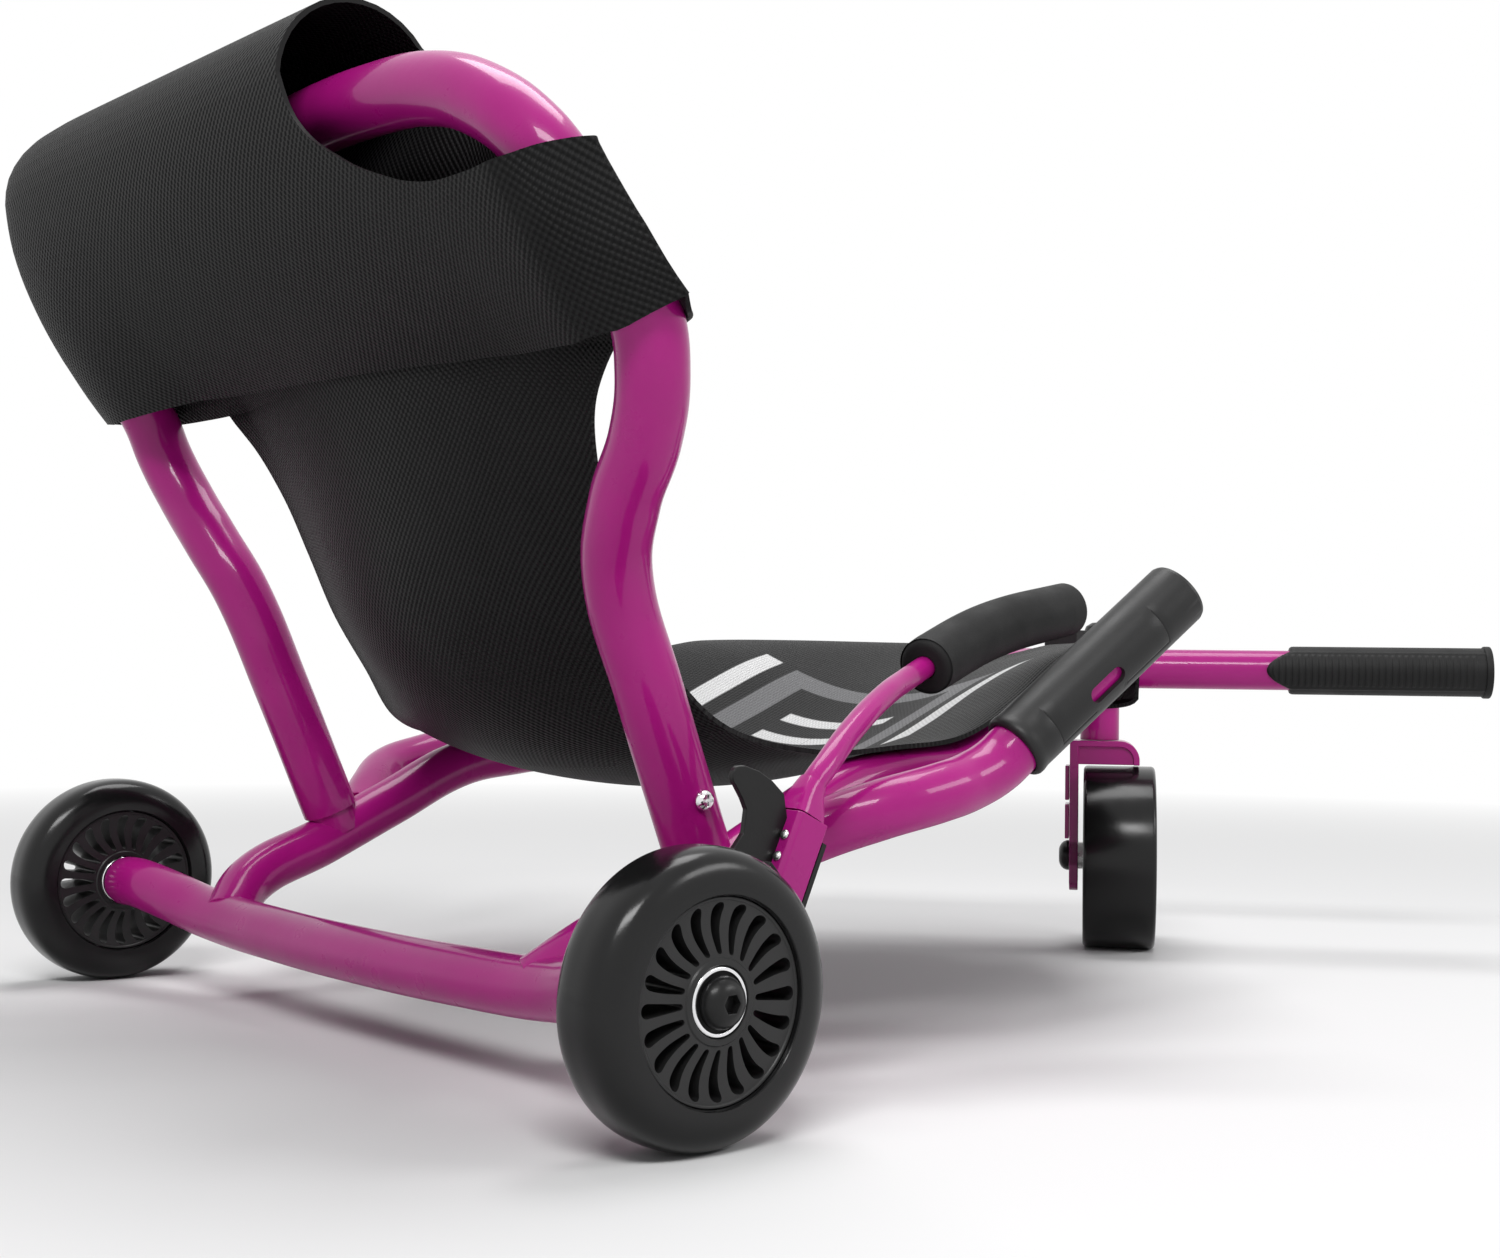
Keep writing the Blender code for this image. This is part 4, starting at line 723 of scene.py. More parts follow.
def frame_tubes():
    """Crossbar, rails, handle tubes, centre tube, back loop and its two stubs."""
    tube = sizes().tube
    route = CROSSBAR + [(0.0115, 0.0, 0.0435)] + mirrored(CROSSBAR)[::-1]
    bar = capped_tube(world(route), tube, edge=0.0012, bores=(AXLE_RADIUS + GAP, AXLE_RADIUS + GAP))
    make_piece("crossbar", bar, "magenta_paint", "frame", "rear_crossbar")
    for side, sign in SIDES:
        route = RAIL if sign > 0 else mirrored(RAIL)
        rail = capped_tube(world(route), tube, edge=0.0005)
        make_piece("rail_" + side, rail, "magenta_paint", "frame", "side_rail_" + side)
        handle = HANDLE if sign > 0 else mirrored(HANDLE)
        part = capped_tube(world(handle), tube, edge=0.0005)
        make_piece("handle_" + side, part, "magenta_paint", "frame", "handle_tube_" + side)
    centre = capped_tube(world(CENTRE_TUBE), tube, edge=0.0005)
    make_piece("neck_tube", centre, "magenta_paint", "frame", "centre_tube")
    loop = BACK_LEG + [(-0.048, 0.0, 0.4445)] + mirrored(BACK_LEG)[::-1]
    bore = sizes().back_tube - 0.0016
    back = capped_tube(world(loop), sizes().back_tube, reference=Y, edge=0.0005, bores=(bore, bore))
    make_piece("back_loop", back, "magenta_paint", "frame", "back_tube")
    foot, rise = back_foot()
    for side, sign in SIDES:
        turn = np.array([1, sign, 1])
        ends = world(np.array([(foot - rise * 0.0135) * turn, (foot + rise * 0.010) * turn]))
        stub = capped_tube(ends, bore - GAP, steps=4, reference=Y, edge=0.0005)
        make_piece("stub_" + side, stub, "magenta_paint", "frame", "back_stub_" + side)


def recessed_head(mouth, bottom, rings, sides=72):
    """Turned head with a recess: the recess outline is mouth(angle), flat at the bottom height.

    rings are (radius, height) rows outwards; the first is blended from the recess outline.
    """
    turn = np.linspace(0, 2 * np.pi, sides, endpoint=False)
    edge = mouth(turn)
    top = rings[0][1]
    radii = [edge * 0, edge * 0.97, edge, edge + 0.00015]
    heights = [bottom, bottom, top - 0.0001, top]
    for radius, height in rings:
        radii.append(np.full(sides, radius))
        heights.append(height)
    radii = np.array(radii)
    heights = np.repeat(np.array(heights)[:, None], sides, axis=1)
    points = np.stack([radii * np.cos(turn), radii * np.sin(turn), heights], axis=-1)
    return points.reshape(-1, 3), grid_faces(len(radii), sides, around=True)


def hexagon(flat):
    """Polar outline of a hexagon: flat / cos of the angle to the nearest flat's middle."""
    return lambda turn: flat / np.cos((turn + np.pi / 6) % (np.pi / 3) - np.pi / 6)


def cross(half, reach):
    """Polar outline of a cross with arms of a half width and a reach."""
    def edge(turn):
        off = np.abs((turn + np.pi / 4) % (np.pi / 2) - np.pi / 4)
        return np.minimum(reach / np.cos(off), half / np.maximum(np.sin(off), 1e-6))
    return edge


def back_bolts():
    """Cross-head bolts through the back loop's legs, on their outer sides."""
    foot, rise = back_foot()
    bolt_height = 0.130
    middle = foot + rise * (bolt_height - foot[2]) / rise[2]
    face = sizes().back_tube * 0.985 + GAP
    for side, sign in SIDES:
        place = matrix_of(
            world(middle * np.array([1, sign, 1])), np.array([0, 0, -sign]), Y)
        rings = [
            (0.0031, face + 0.0033), (0.0039, face + 0.0026), (0.0045, face + 0.0015),
            (0.0048, face + 0.0006), (0.0048, face), (0.003, face), (0.003, 0.006), (0, 0.006)]
        head = recessed_head(cross(0.0006, 0.0027), face + 0.0016, rings, sides=96)
        make_piece(
            "back_bolt_head_" + side, placed(head, place), "chrome", "frame", "back_bolt_" + side)


def handle_sleeves():
    """Sleeve: a turned wall, open over its slot; both walls are joined round the slot's edge."""
    bore = sizes().tube + 2 * GAP
    outer = 0.01725
    wall_end = 0.1245
    half_slot = 0.0042
    slot_start, slot_end = 0.0425, 0.0665
    seams = (0.0180, 0.0990)
    seam_depth, seam_angle = 0.0004, 5.79
    beside = seam_depth * np.arange(-2, 3)
    quarter = np.linspace(0, np.pi / 2, 7)
    stations = np.concatenate([
        [0.0, 0.0003, 0.0010, 0.0020, 0.004, 0.006, 0.008, 0.012], seams[0] + beside,
        [0.026, 0.036, 0.0415], slot_start + half_slot - half_slot * np.cos(quarter),
        np.linspace(0.0485, 0.0605, 5), slot_end - half_slot + half_slot * np.sin(quarter),
        [0.0680, 0.080, 0.092], seams[1] + beside, [0.104, 0.114, wall_end]])
    low = np.clip((stations - slot_start) / half_slot, 0, 1)
    high = np.clip((slot_end - stations) / half_slot, 0, 1)
    inside = low * high
    width = half_slot * np.sqrt(1 - (1 - low) ** 2) * np.sqrt(1 - (1 - high) ** 2) * (inside > 0)
    half = np.arcsin(width / outer)
    share = np.sort(np.concatenate([np.linspace(0, 1, 65), 0.9215 + 0.003 * np.arange(-2, 3)]))
    around = half[:, None] + share * (2 * np.pi - 2 * half[:, None])
    bead = np.interp(
        stations, [0, 0.0003, 0.0010, 0.0020, 0.004, 0.006, 0.008],
        [0.0150, 0.0163, 0.0172, 0.0177, 0.01775, 0.0174, outer])
    radius = np.repeat(bead[:, None], len(share), axis=1)
    along_seam = np.exp(-((around - seam_angle) / 0.022) ** 2)
    along_seam *= ((stations > seams[0]) & (stations < seams[1]))[:, None]
    across_seam = sum(np.exp(-((stations - place) / seam_depth) ** 2) for place in seams)[:, None]
    across_seam = across_seam * ((around > seam_angle - 0.03) | (around < 0.8))
    radius = radius - seam_depth * np.maximum(along_seam, across_seam)

    def wall(value):
        """Local points of one wall: x = r sin a, y = r cos a."""
        return np.stack([
            value * np.sin(around), value * np.cos(around),
            np.repeat(stations[:, None], len(share), axis=1)], axis=-1)

    def rings(rows):
        """Full rings of (radius, height) rows, from the slot round to the slot."""
        turn = np.linspace(0, 2 * np.pi, len(share))
        points = np.array([[(r * np.sin(a), r * np.cos(a), z) for a in turn] for r, z in rows])
        return points.reshape(-1, 3), grid_faces(len(rows), len(share))

    shell = wall(radius)
    lining = wall(np.full_like(radius, bore))
    count = len(share)
    faces = grid_faces(len(stations), count)
    parts = [(shell.reshape(-1, 3), faces), (lining.reshape(-1, 3), faces)]
    for edge in (0, -1):
        rim = np.stack([shell[:, edge], lining[:, edge]], axis=1)
        keep = half > 0
        rows = np.flatnonzero(keep)
        rim = rim[rows[0] - 1:rows[-1] + 2]
        parts.append((rim.reshape(-1, 3), grid_faces(len(rim), 2)))
    mouth = np.stack([shell[0], lining[0]], axis=0)
    parts.append((mouth.reshape(-1, 3), grid_faces(2, count)))
    rounded_end = rings([
        (outer, wall_end), (outer - 0.0006, 0.1262), (outer - 0.002, SLEEVE_LENGTH),
        (0, SLEEVE_LENGTH)])
    sleeve = joined(*parts, rounded_end, rings([(bore, wall_end), (0, wall_end)]))
    for side, sign in SIDES:
        mirror = np.array([1, sign, 1])
        start = world(SLEEVE_MOUTH * mirror)
        aim = Vector(world(SLEEVE_TOWARDS * mirror) - start)
        turned = np.array(aim.to_track_quat("Z", "Y").to_matrix())
        axis = turned[:, 2]
        facing = np.array([sign * 0.974, 0.183, -0.135])
        other = facing - axis * (facing @ axis)
        other /= np.linalg.norm(other)
        across = np.cross(other, axis)
        make_piece(
            "hand_sleeve_" + side, placed(sleeve, matrix_of(start, across, other)),
            "sleeve_plastic", "frame", "handle_sleeve_" + side)


# Wheels

def slotted_hub():
    """Hub from ribs between neighbouring slots, on a polar grid.

    A slot's middle is at angle a + b cos a 4 s (1 - s), with s from 0 at its inner end to 1
    at its outer end; its half width grows with s and closes round at both ends.
    """
    count = sizes().slots
    half = REAR_HUB_HALF
    first, last = 0.0185, 0.0388
    edge = sizes().rear_hub
    ease = 0.5 - 0.5 * np.cos(np.linspace(0, np.pi, 25))
    radii = np.concatenate([
        [0.0143, 0.0146, 0.0168, 0.0171, 0.0174, 0.0177], first + (last - first) * ease,
        [0.0391, 0.0394, 0.0397, 0.0400, edge - 0.0004, edge]])
    tops = np.concatenate([
        [half - 0.0003, half, half, half - 0.0003, half - 0.0006, half - 0.0006],
        np.full(25, half - 0.0006),
        [half - 0.0006, half - 0.0006, half - 0.0002, half, half, half - 0.0004]])
    share = np.clip((radii - first) / (last - first), 0, 1)
    inner_end = np.sqrt(np.clip(1 - (1 - np.clip((radii - first) / 0.0012, 0, 1)) ** 2, 0, 1))
    outer_end = np.sqrt(np.clip(1 - (1 - np.clip((last - radii) / 0.0031, 0, 1)) ** 2, 0, 1))
    width = (0.0011 + 0.0021 * share) * inner_end * outer_end / radii
    bulge = math.radians(5.5) * 4 * share * (1 - share)
    steps = np.linspace(0, 1, 7)
    parts = []
    for k in range(count):
        a = 2 * math.pi * k / count
        b = 2 * math.pi * (k + 1) / count
        low = a + bulge * math.cos(a) + width
        high = b + bulge * math.cos(b) - width
        turn = low[:, None] + (high - low)[:, None] * steps
        flat = np.stack([radii[:, None] * np.cos(turn), radii[:, None] * np.sin(turn)], axis=-1)
        for sign in (1, -1):
            height = np.repeat(sign * tops[:, None], len(steps), axis=1)[..., None]
            face = np.concatenate([flat, height], axis=-1)
            parts.append((face.reshape(-1, 3), grid_faces(len(radii), len(steps))))
        for column in (0, -1):
            span = slice(5, 32)
            wall = np.stack([
                np.column_stack([flat[span, column], tops[span]]),
                np.column_stack([flat[span, column], -tops[span]])], axis=1)
            open_rows = width[span] > 1e-7
            rows = np.flatnonzero(open_rows)
            wall = wall[rows[0] - 1:rows[-1] + 2]
            parts.append((wall.reshape(-1, 3), grid_faces(len(wall), 2)))
        for row in (0, -1):
            rim = np.stack([
                np.column_stack([flat[row], np.full(len(steps), tops[row])]),
                np.column_stack([flat[row], np.full(len(steps), -tops[row])])], axis=0)
            parts.append((rim.reshape(-1, 3), grid_faces(2, len(steps))))
    return joined(*parts)


def bearing(bottom):
    """Ball bearing: bright outer race, recessed seal and inner race."""
    top = bottom + BEARING_WIDTH
    inner = AXLE_RADIUS + GAP
    profile = rounded([
        (inner, bottom + 0.001), (inner, top), (SEAL_INNER, top),
        (SEAL_INNER + 0.0001, top - 0.0012), (SEAL_OUTER - 0.0001, top - 0.0012),
        (SEAL_OUTER, top), (0.0134, top), (BEARING_RADIUS, top - 0.0006),
        (BEARING_RADIUS, bottom), (inner, bottom), (inner, bottom + 0.001)], 0.0002)
    return lathe(profile, 72)


def face_centres(mesh):
    """Middle of every face of a mesh."""
    centre = np.empty(len(mesh.polygons) * 3)
    mesh.polygons.foreach_get("center", centre)
    return centre.reshape(-1, 3)


def add_seal(piece, axle, normal, top):
    """Give the recessed ring of a bearing the dark seal finish."""
    mesh = piece.data
    mesh.materials.append(FINISHES["shoe_rubber"])
    off = face_centres(mesh) - axle
    height = off @ normal
    radius = np.linalg.norm(off - height[:, None] * normal, axis=1)
    in_ring = (radius > SEAL_INNER) & (radius < SEAL_OUTER - 0.00002)
    seal = in_ring & (np.abs(height) > top - 0.002)
    mesh.polygons.foreach_set("material_index", seal.astype(np.int32))


def hex_bolt(head_bottom, shank_end):
    """Domed bolt with a hex socket and a thin flange."""
    top = head_bottom + HEAD_HEIGHT
    radius = HEAD_RADIUS
    rings = [
        (0.0046, top - 0.0001), (radius * 0.62, top - 0.0007), (radius * 0.80, top - 0.0019),
        (radius * 0.92, top - 0.0034), (radius * 0.985, head_bottom + 0.0019),
        (radius, head_bottom + 0.0009), (radius, head_bottom), (AXLE_RADIUS, head_bottom),
        (AXLE_RADIUS, shank_end + 0.0008), (AXLE_RADIUS - 0.0008, shank_end), (0, shank_end)]
    return recessed_head(hexagon(0.0036), top - 0.004, rings)


def rear_wheels():
    """Cast tyres on slotted hubs, with two bearings and a socket bolt each."""
    half_tyre = sizes().rear_width / 2
    shoulder = sizes().rear_wheel - half_tyre
    inner = sizes().rear_hub + GAP
    tread = full_arc(shoulder, half_tyre, 3.0, 61)
    lip = half_tyre - 0.001
    edge = (inner + 0.0006, half_tyre - 0.0002)
    seat = [(edge[0], -edge[1]), (inner, -lip), (inner, lip), edge]
    tyre = lathe(tread + seat + tread[:1], 128)
    hub = slotted_hub()
    half = REAR_HUB_HALF
    for side, sign in SIDES:
        place = matrix_of(
            world((0, sign * TRACK / 2, sizes().rear_wheel)), np.array([0, 0, -sign]), Y)
        body = "rear_wheel_" + side
        make_piece(
            "cast_tyre_" + side, placed(tyre, place), "tyre_urethane", body, "rear_tyre_" + side)
        make_piece(
            "slotted_hub_" + side, placed(hub, place), "hub_plastic", body, "rear_hub_" + side,
            sharp=30)
        outer = bearing(half - BEARING_WIDTH)
        turned_in = matrix_of((0, 0, 0), X, -Y)
        for end, turn in (("outer", np.eye(4)), ("inner", turned_in)):
            ring = make_piece(
                "bearing_ring_" + end + "_" + side, placed(outer, place, turn), "chrome", body,
                "rear_bearing_" + end + "_" + side)
            add_seal(ring, place[:3, 3], X, half)
        bolt = hex_bolt(half + GAP, -half - 0.028)
        make_piece(
            "axle_head_" + side, placed(bolt, place), "black_steel", "frame",
            "rear_axle_bolt_" + side)


def front_wheel():
    """Wide flat tyre on a plain hub, two bearings and the bolt through the fork."""
    half = sizes().front_width / 2
    radius = sizes().front_wheel
    corner = 0.0030
    inner = FRONT_HUB_RADIUS + GAP
    outline = [
        (inner, half - 0.0012), (inner + 0.0012, half), (radius - corner, half)]
    crown = arc((radius - corner, half - corner), corner, 90, 8, 12)
    crown += arc((radius - corner, -half + corner), corner, -8, -90, 12)
    outline += crown + [(inner + 0.0012, -half), (inner, -half + 0.0012), (inner, half - 0.0012)]
    place = STEERING @ matrix_of((FRONT_OFFSET, 0, radius), -Z, Y)
    make_piece(
        "flat_tyre", placed(lathe(outline, 144), place), "tyre_urethane", "front_wheel",
        "front_tyre")
    hub_half = half - 0.001
    boss = BEARING_RADIUS + 0.0035
    rim = FRONT_HUB_RADIUS - 0.004
    seat = BEARING_RADIUS + GAP
    bore = BEARING_RADIUS - 0.003
    left_floor = hub_half - BEARING_WIDTH - 0.0005
    right_floor = NUT_RECESS - left_floor
    profile = rounded([
        (bore, 0), (bore, left_floor), (seat, left_floor), (seat, hub_half), (boss, hub_half),
        (boss, 0.008), (rim, 0.008), (rim, hub_half), (FRONT_HUB_RADIUS, hub_half),
        (FRONT_HUB_RADIUS, -hub_half), (rim, -hub_half), (rim, -0.008), (boss, -0.008),
        (boss, -hub_half), (seat, -hub_half), (seat, right_floor), (bore, right_floor), (bore, 0)],
        0.0006)
    make_piece(
        "front_core", placed(lathe(profile, 96), place), "hub_plastic", "front_wheel", "front_hub")
    for side, turn, top in (
            ("left", np.eye(4), hub_half), ("right", matrix_of((0, 0, 0), X, -Y), hub_half - NUT_RECESS)):
        ring = make_piece(
            "front_race_" + side, placed(bearing(top - BEARING_WIDTH), place, turn), "chrome",
            "front_wheel", "front_bearing_" + side)
        add_seal(ring, place[:3, 3], STEERING[:3, 0], top)
    leg_outer = FORK_OUTER - FRONT_OFFSET
    bolt = hex_bolt(leg_outer + GAP, NUT_RECESS - hub_half - GAP - 0.010)
    make_piece("front_axle_head", placed(bolt, place), "black_steel", "steering", "front_axle_bolt")


# Steering

def head():
    """Yoke: two plates round the foot bar, joined by a waisted web."""
    reach = BAR_RADIUS + YOKE_CLEARANCE
    low = BAR_HEIGHT - reach - YOKE_LOWER
    high = BAR_HEIGHT + reach + YOKE_UPPER
    corner = 0.0085
    nose = arc((-0.0100, -0.0110), corner, 180, 270, 13) + arc((0.0100, -0.0110), corner, 270, 360, 13)
    waist = [(0.0190, 0.008), (0.0192, 0.014), (0.0160, 0.022), (0.0143, 0.028), (0.0143, 0.044)]
    outline = nose + waist + [(-x, y) for x, y in waist[::-1]]
    web = [(0.0143, 0.034), (0.0143, 0.0436), (-0.0143, 0.0436), (-0.0143, 0.034)]
    place = matrix_of((0, AXLE_Y - WHEELBASE, 0), X, Y)
    sunk = 0.0001
    parts = joined(
        slab(outline, low, low + YOKE_LOWER), slab(outline, high - YOKE_UPPER, high),
        slab(web, low + YOKE_LOWER - sunk, high - YOKE_UPPER + sunk))
    make_piece("yoke", placed(parts, place), "head_plastic", "frame", "head_yoke", bevel=0.0007)
    top = high + GAP
    profile = rounded([
        (0, top + 0.0065), (0.006, top + 0.006), (0.0100, top + 0.0035), (0.0110, top + 0.001),
        (0.0110, top), (0.005, top), (0.005, 0.1610), (0, 0.1610)], 0.0006)
    make_piece(
        "pivot_head", placed(lathe(profile, 64), STEERING), "black_steel", "steering", "pivot_bolt")
    half_bar = 0.2585
    bar = capped_tube([(x, 0, BAR_HEIGHT) for x in (-half_bar, 0, half_bar)], BAR_RADIUS)
    make_piece("pedal_bar", placed(bar, STEERING), "magenta_paint", "steering", "foot_bar")
    post_radius, post_bottom, post_top = 0.0135, FORK_TOP + GAP, BAR_HEIGHT - 0.004
    post = rounded([
        (0, post_bottom), (post_radius, post_bottom), (post_radius, 0.1560),
        (post_radius, post_top), (0, post_top)], 0.0006)
    make_piece(
        "post", placed(lathe(post, 64), STEERING), "magenta_paint", "steering", "steering_post")


def foot_grips():
    """Grip: r = base + rib(s) band(a), with s outwards along the bar and a round it.

    Its inner edge comes to a point on the sides it shows: s starts at point(a) there. A rib
    is a soft square wave of s, and the band leaves a plain edge above and below.
    """
    count = 128
    ribs = sizes().ribs
    turn = np.linspace(0, 2 * np.pi, count, endpoint=False)
    side = np.abs(np.sin(turn))
    point = 0.129 - 0.016 * np.clip((side - 0.55) / 0.45, 0, 1) ** 1.2
    start, end = 0.1200, 0.2520
    inner = np.linspace(point.min(), start, 18)[1:-1]
    along = np.concatenate([inner, np.linspace(start, end, ribs * 10 + 1), [0.2545, 0.2575]])
    bore = BAR_RADIUS + GAP
    floor_place = 0.2588
    base = 0.01665
    lip = np.array([0, 0.0004, 0.0014, 0.003])
    distance = np.concatenate([
        np.broadcast_to(point, (1, count)), np.maximum(along[:, None], point + 0.0004)])
    away = distance - point
    lip_radius = np.interp(away, lip, [bore + 0.0006, base - 0.0009, base - 0.0002, base])
    phase = (distance - start) / (end - start) * ribs
    wave = np.clip(0.5 - 2.4 * np.cos(2 * np.pi * phase), 0, 1) * (distance <= end)
    wave *= np.clip((away - 0.003) / 0.0008, 0, 1)
    band_mask = np.clip((side - 0.74) / 0.06, 0, 1)
    rim = np.clip(1 - np.abs(side - 0.67) / 0.07, 0, 1) * np.clip(away / 0.006, 0, 1)
    radius = lip_radius + 0.00052 * wave * band_mask + 0.00050 * rim
    sleeve = np.stack([radius * np.cos(turn), radius * np.sin(turn), distance], axis=-1)
    outer_end = 0.259 + 0.0025 + GAP
    flange = lathe(rounded([
        (0.0150, 0.2570), (0.0178, 0.2570), (0.0178, outer_end), (0, outer_end)], 0.0011), count)
    lining = [
        np.stack([bore * np.cos(turn), bore * np.sin(turn), place], axis=-1)
        for place in (np.full(count, floor_place), point)]
    rows = np.concatenate([lining, sleeve], axis=0)
    floor = lathe([(bore, floor_place), (0, floor_place)], count)
    shell = joined((rows.reshape(-1, 3), grid_faces(len(rows), count, around=True)), floor, flange)
    for name, sign in SIDES:
        place = STEERING @ matrix_of((0, 0, BAR_HEIGHT), np.array([0, 0, -sign]), Y)
        make_piece(
            "ribbed_grip_" + name, placed(shell, place), "grip_rubber", "steering",
            "foot_grip_" + name, sharp=50)


def fork():
    """Bent strip with a lip, a web under its crown and a doubler in two lengths."""
    outer, thick, top, lip = FORK_OUTER, 0.0042, FORK_TOP, -0.0275
    radius = 0.0135
    bend = (lip + radius, top - radius)
    crown = arc(bend, radius, 90, 180, 21)
    under = arc(bend, radius - thick, 180, 90, 21)
    lip_end = 0.1282
    corner = arc((outer - 0.003, top - 0.003), 0.003, 0, 90, 7)
    leg_end, leg_inner, half = 0.045, outer - 0.0060, 0.019
    outline = [(outer, leg_end)] + corner + crown + [(lip, lip_end), (lip + thick, lip_end)] + under
    outline += [(leg_inner, top - thick), (leg_inner, leg_end)]
    upright = matrix_of((0, 0, 0), X, Z)
    strip = placed(slab(outline, -half, half), upright)
    sunk, web_end = 0.0003, 0.1284
    web_top = arc(bend, radius - thick + sunk, 90, 180, 11)
    web = placed(slab(
        [(leg_inner + sunk, web_end), (leg_inner + sunk, top - thick + sunk)] + web_top
        + [(lip + thick - sunk, web_end)], -0.0165, -0.0135), upright)
    foot = arc((0, 0.058), half, 180, 360, 25)
    leg = slab(foot + [(half, 0.075), (-half, 0.075)], leg_inner, outer)
    edgewise = matrix_of((0, 0, 0), Y, Z)
    parts = joined(strip, web, placed(leg, edgewise))
    make_piece(
        "fork_strip", placed(parts, STEERING), "magenta_paint", "steering", "fork", bevel=0.0006)
    plate_half = 0.012
    plates = []
    for low, high in ((0.0760, 0.1000), (0.1030, 0.1270)):
        corners = [(-plate_half, low), (plate_half, low), (plate_half, high), (-plate_half, high)]
        plates.append(placed(slab(corners, outer + GAP, outer + 0.0032), edgewise))
    make_piece(
        "fork_doubler", placed(joined(*plates), STEERING), "magenta_paint", "steering",
        "fork_plate", bevel=0.0006)


# Hand brake

def leaned(back, rise):
    """(ahead, up) of a point in the channel's own frame, from its pin."""
    sine, cosine = math.sin(LEAN), math.cos(LEAN)
    return (rise * sine - back * cosine, rise * cosine + back * sine)


def hand_brake():
    """Painted channel and rod, foam grip, riveted plate, shoe and pin."""
    half, wall = CHANNEL_HALF, CHANNEL_WALL
    section = [
        (half, -CHANNEL_FRONT), (half, CHANNEL_BACK - 0.002), (half - 0.002, CHANNEL_BACK),
        (-half + 0.002, CHANNEL_BACK), (-half, CHANNEL_BACK - 0.002), (-half, -CHANNEL_FRONT),
        (-half + wall, -CHANNEL_FRONT), (-half + wall, CHANNEL_BACK - wall),
        (half - wall, CHANNEL_BACK - wall), (half - wall, -CHANNEL_FRONT)]
    inside = half - wall - 0.0001
    roof = [
        (inside, -CHANNEL_FRONT), (inside, CHANNEL_BACK - wall), (-inside, CHANNEL_BACK - wall),
        (-inside, -CHANNEL_FRONT)]
    channel = joined(
        slab(section, -CHANNEL_BELOW, CHANNEL_ABOVE),
        slab(roof, CHANNEL_ABOVE - wall, CHANNEL_ABOVE - 0.0001))
    make_piece(
        "brake_trough", placed(channel, BRAKE, LEANING), "magenta_paint", "brake_lever",
        "brake_channel", bevel=0.0006)
    path = smooth_route(world(BRAKE_ROD), 14)
    flat = np.clip(1 - np.linspace(0, 1, len(path)) * 5.5, 0, 1)
    rod = capped_tube(world(BRAKE_ROD), ROD_RADIUS, steps=14, reference=X, edge=0.0006)
    pressed = slice(0, 18)
    neck = flattened_neck(path[pressed], flat[pressed])
    make_piece("brake_bar", joined(rod, neck), "magenta_paint", "brake_lever", "brake_rod")
    make_piece("foam_sleeve", foam_grip(), "grip_foam", "brake_lever", "brake_grip")
    brake_plate()
    face, head_radius, shank, tip = half + GAP, 0.0068, 0.003, -0.026
    pin = rounded([
        (0, face + 0.0035), (0.005, face + 0.003), (head_radius, face + 0.001),
        (head_radius, face), (shank, face), (shank, tip), (0, tip)], 0.0004)
    place = BRAKE @ matrix_of((0, 0, 0), Z, Y)
    make_piece("brake_pivot", placed(lathe(pin, 48), place), "zinc_steel", "frame", "brake_pin")


def flattened_neck(path, flat):
    """Rod's foot pressed from round to the channel's width: an ellipse whose X radius grows."""
    turn = np.linspace(0, 2 * np.pi, 40, endpoint=False)
    round_radius = 0.0059
    wide = blend(round_radius, 0.0098, flat ** 1.2)
    deep = blend(round_radius, 0.0088, flat ** 1.2)
    step = np.gradient(path, axis=0)
    step /= np.linalg.norm(step, axis=1, keepdims=True)
    fore = np.cross(X, step)
    fore /= np.linalg.norm(fore, axis=1, keepdims=True)
    power = 2 / (2 + 3 * flat)
    c = np.sign(np.cos(turn)) * np.abs(np.cos(turn)) ** power[:, None]
    s = np.sign(np.sin(turn)) * np.abs(np.sin(turn)) ** power[:, None]
    sideways = (wide[:, None] * c)[..., None] * X
    points = path[:, None] + sideways + (deep[:, None] * s)[..., None] * fore[:, None]
    closing = np.repeat(path[:1, None], len(turn), axis=1)
    ending = np.repeat(path[-1:, None], len(turn), axis=1)
    points = np.concatenate([closing, points, ending])
    return points.reshape(-1, 3), grid_faces(len(points), len(turn), around=True)


def foam_grip():
    """Foam tube, fullest in the middle, with softly rolled ends and a shallow mouth."""
    path = smooth_route(world(FOAM), 16)
    tangent = np.gradient(path, axis=0)
    tangent /= np.linalg.norm(tangent, axis=1, keepdims=True)
    share = np.linspace(0, 1, len(path))
    radius = 0.0147 + 0.0004 * np.sin(np.pi * share)
    turn = np.linspace(0, np.pi / 2, 8)[1:]
    roll = 0.0045
    first = path[0] + tangent[0] * roll
    last = path[-1] - tangent[-1] * roll
    keep = (share > 0.05) & (share < 0.95)
    start = first - tangent[0] * (roll * np.sin(turn))[::-1, None]
    end = last + tangent[-1] * (roll * np.sin(turn))[:, None]
    start_radius = (radius[0] - roll * (1 - np.cos(turn)))[::-1]
    end_radius = radius[-1] - roll * (1 - np.cos(turn))
    mouth = path[:1] + tangent[:1] * 0.004
    rows = np.vstack([mouth, path[:1], start, path[keep], end, path[-1:], path[-1:]])
    radii = np.concatenate([
        [ROD_RADIUS], [0.0062], start_radius, radius[keep], end_radius, [0.004], [0]])
    axis = np.vstack([
        np.repeat(tangent[:1], 2 + len(turn), axis=0), tangent[keep],
        np.repeat(tangent[-1:], 2 + len(turn), axis=0)])
    return ringed(rows, axis, radii, 48, X)


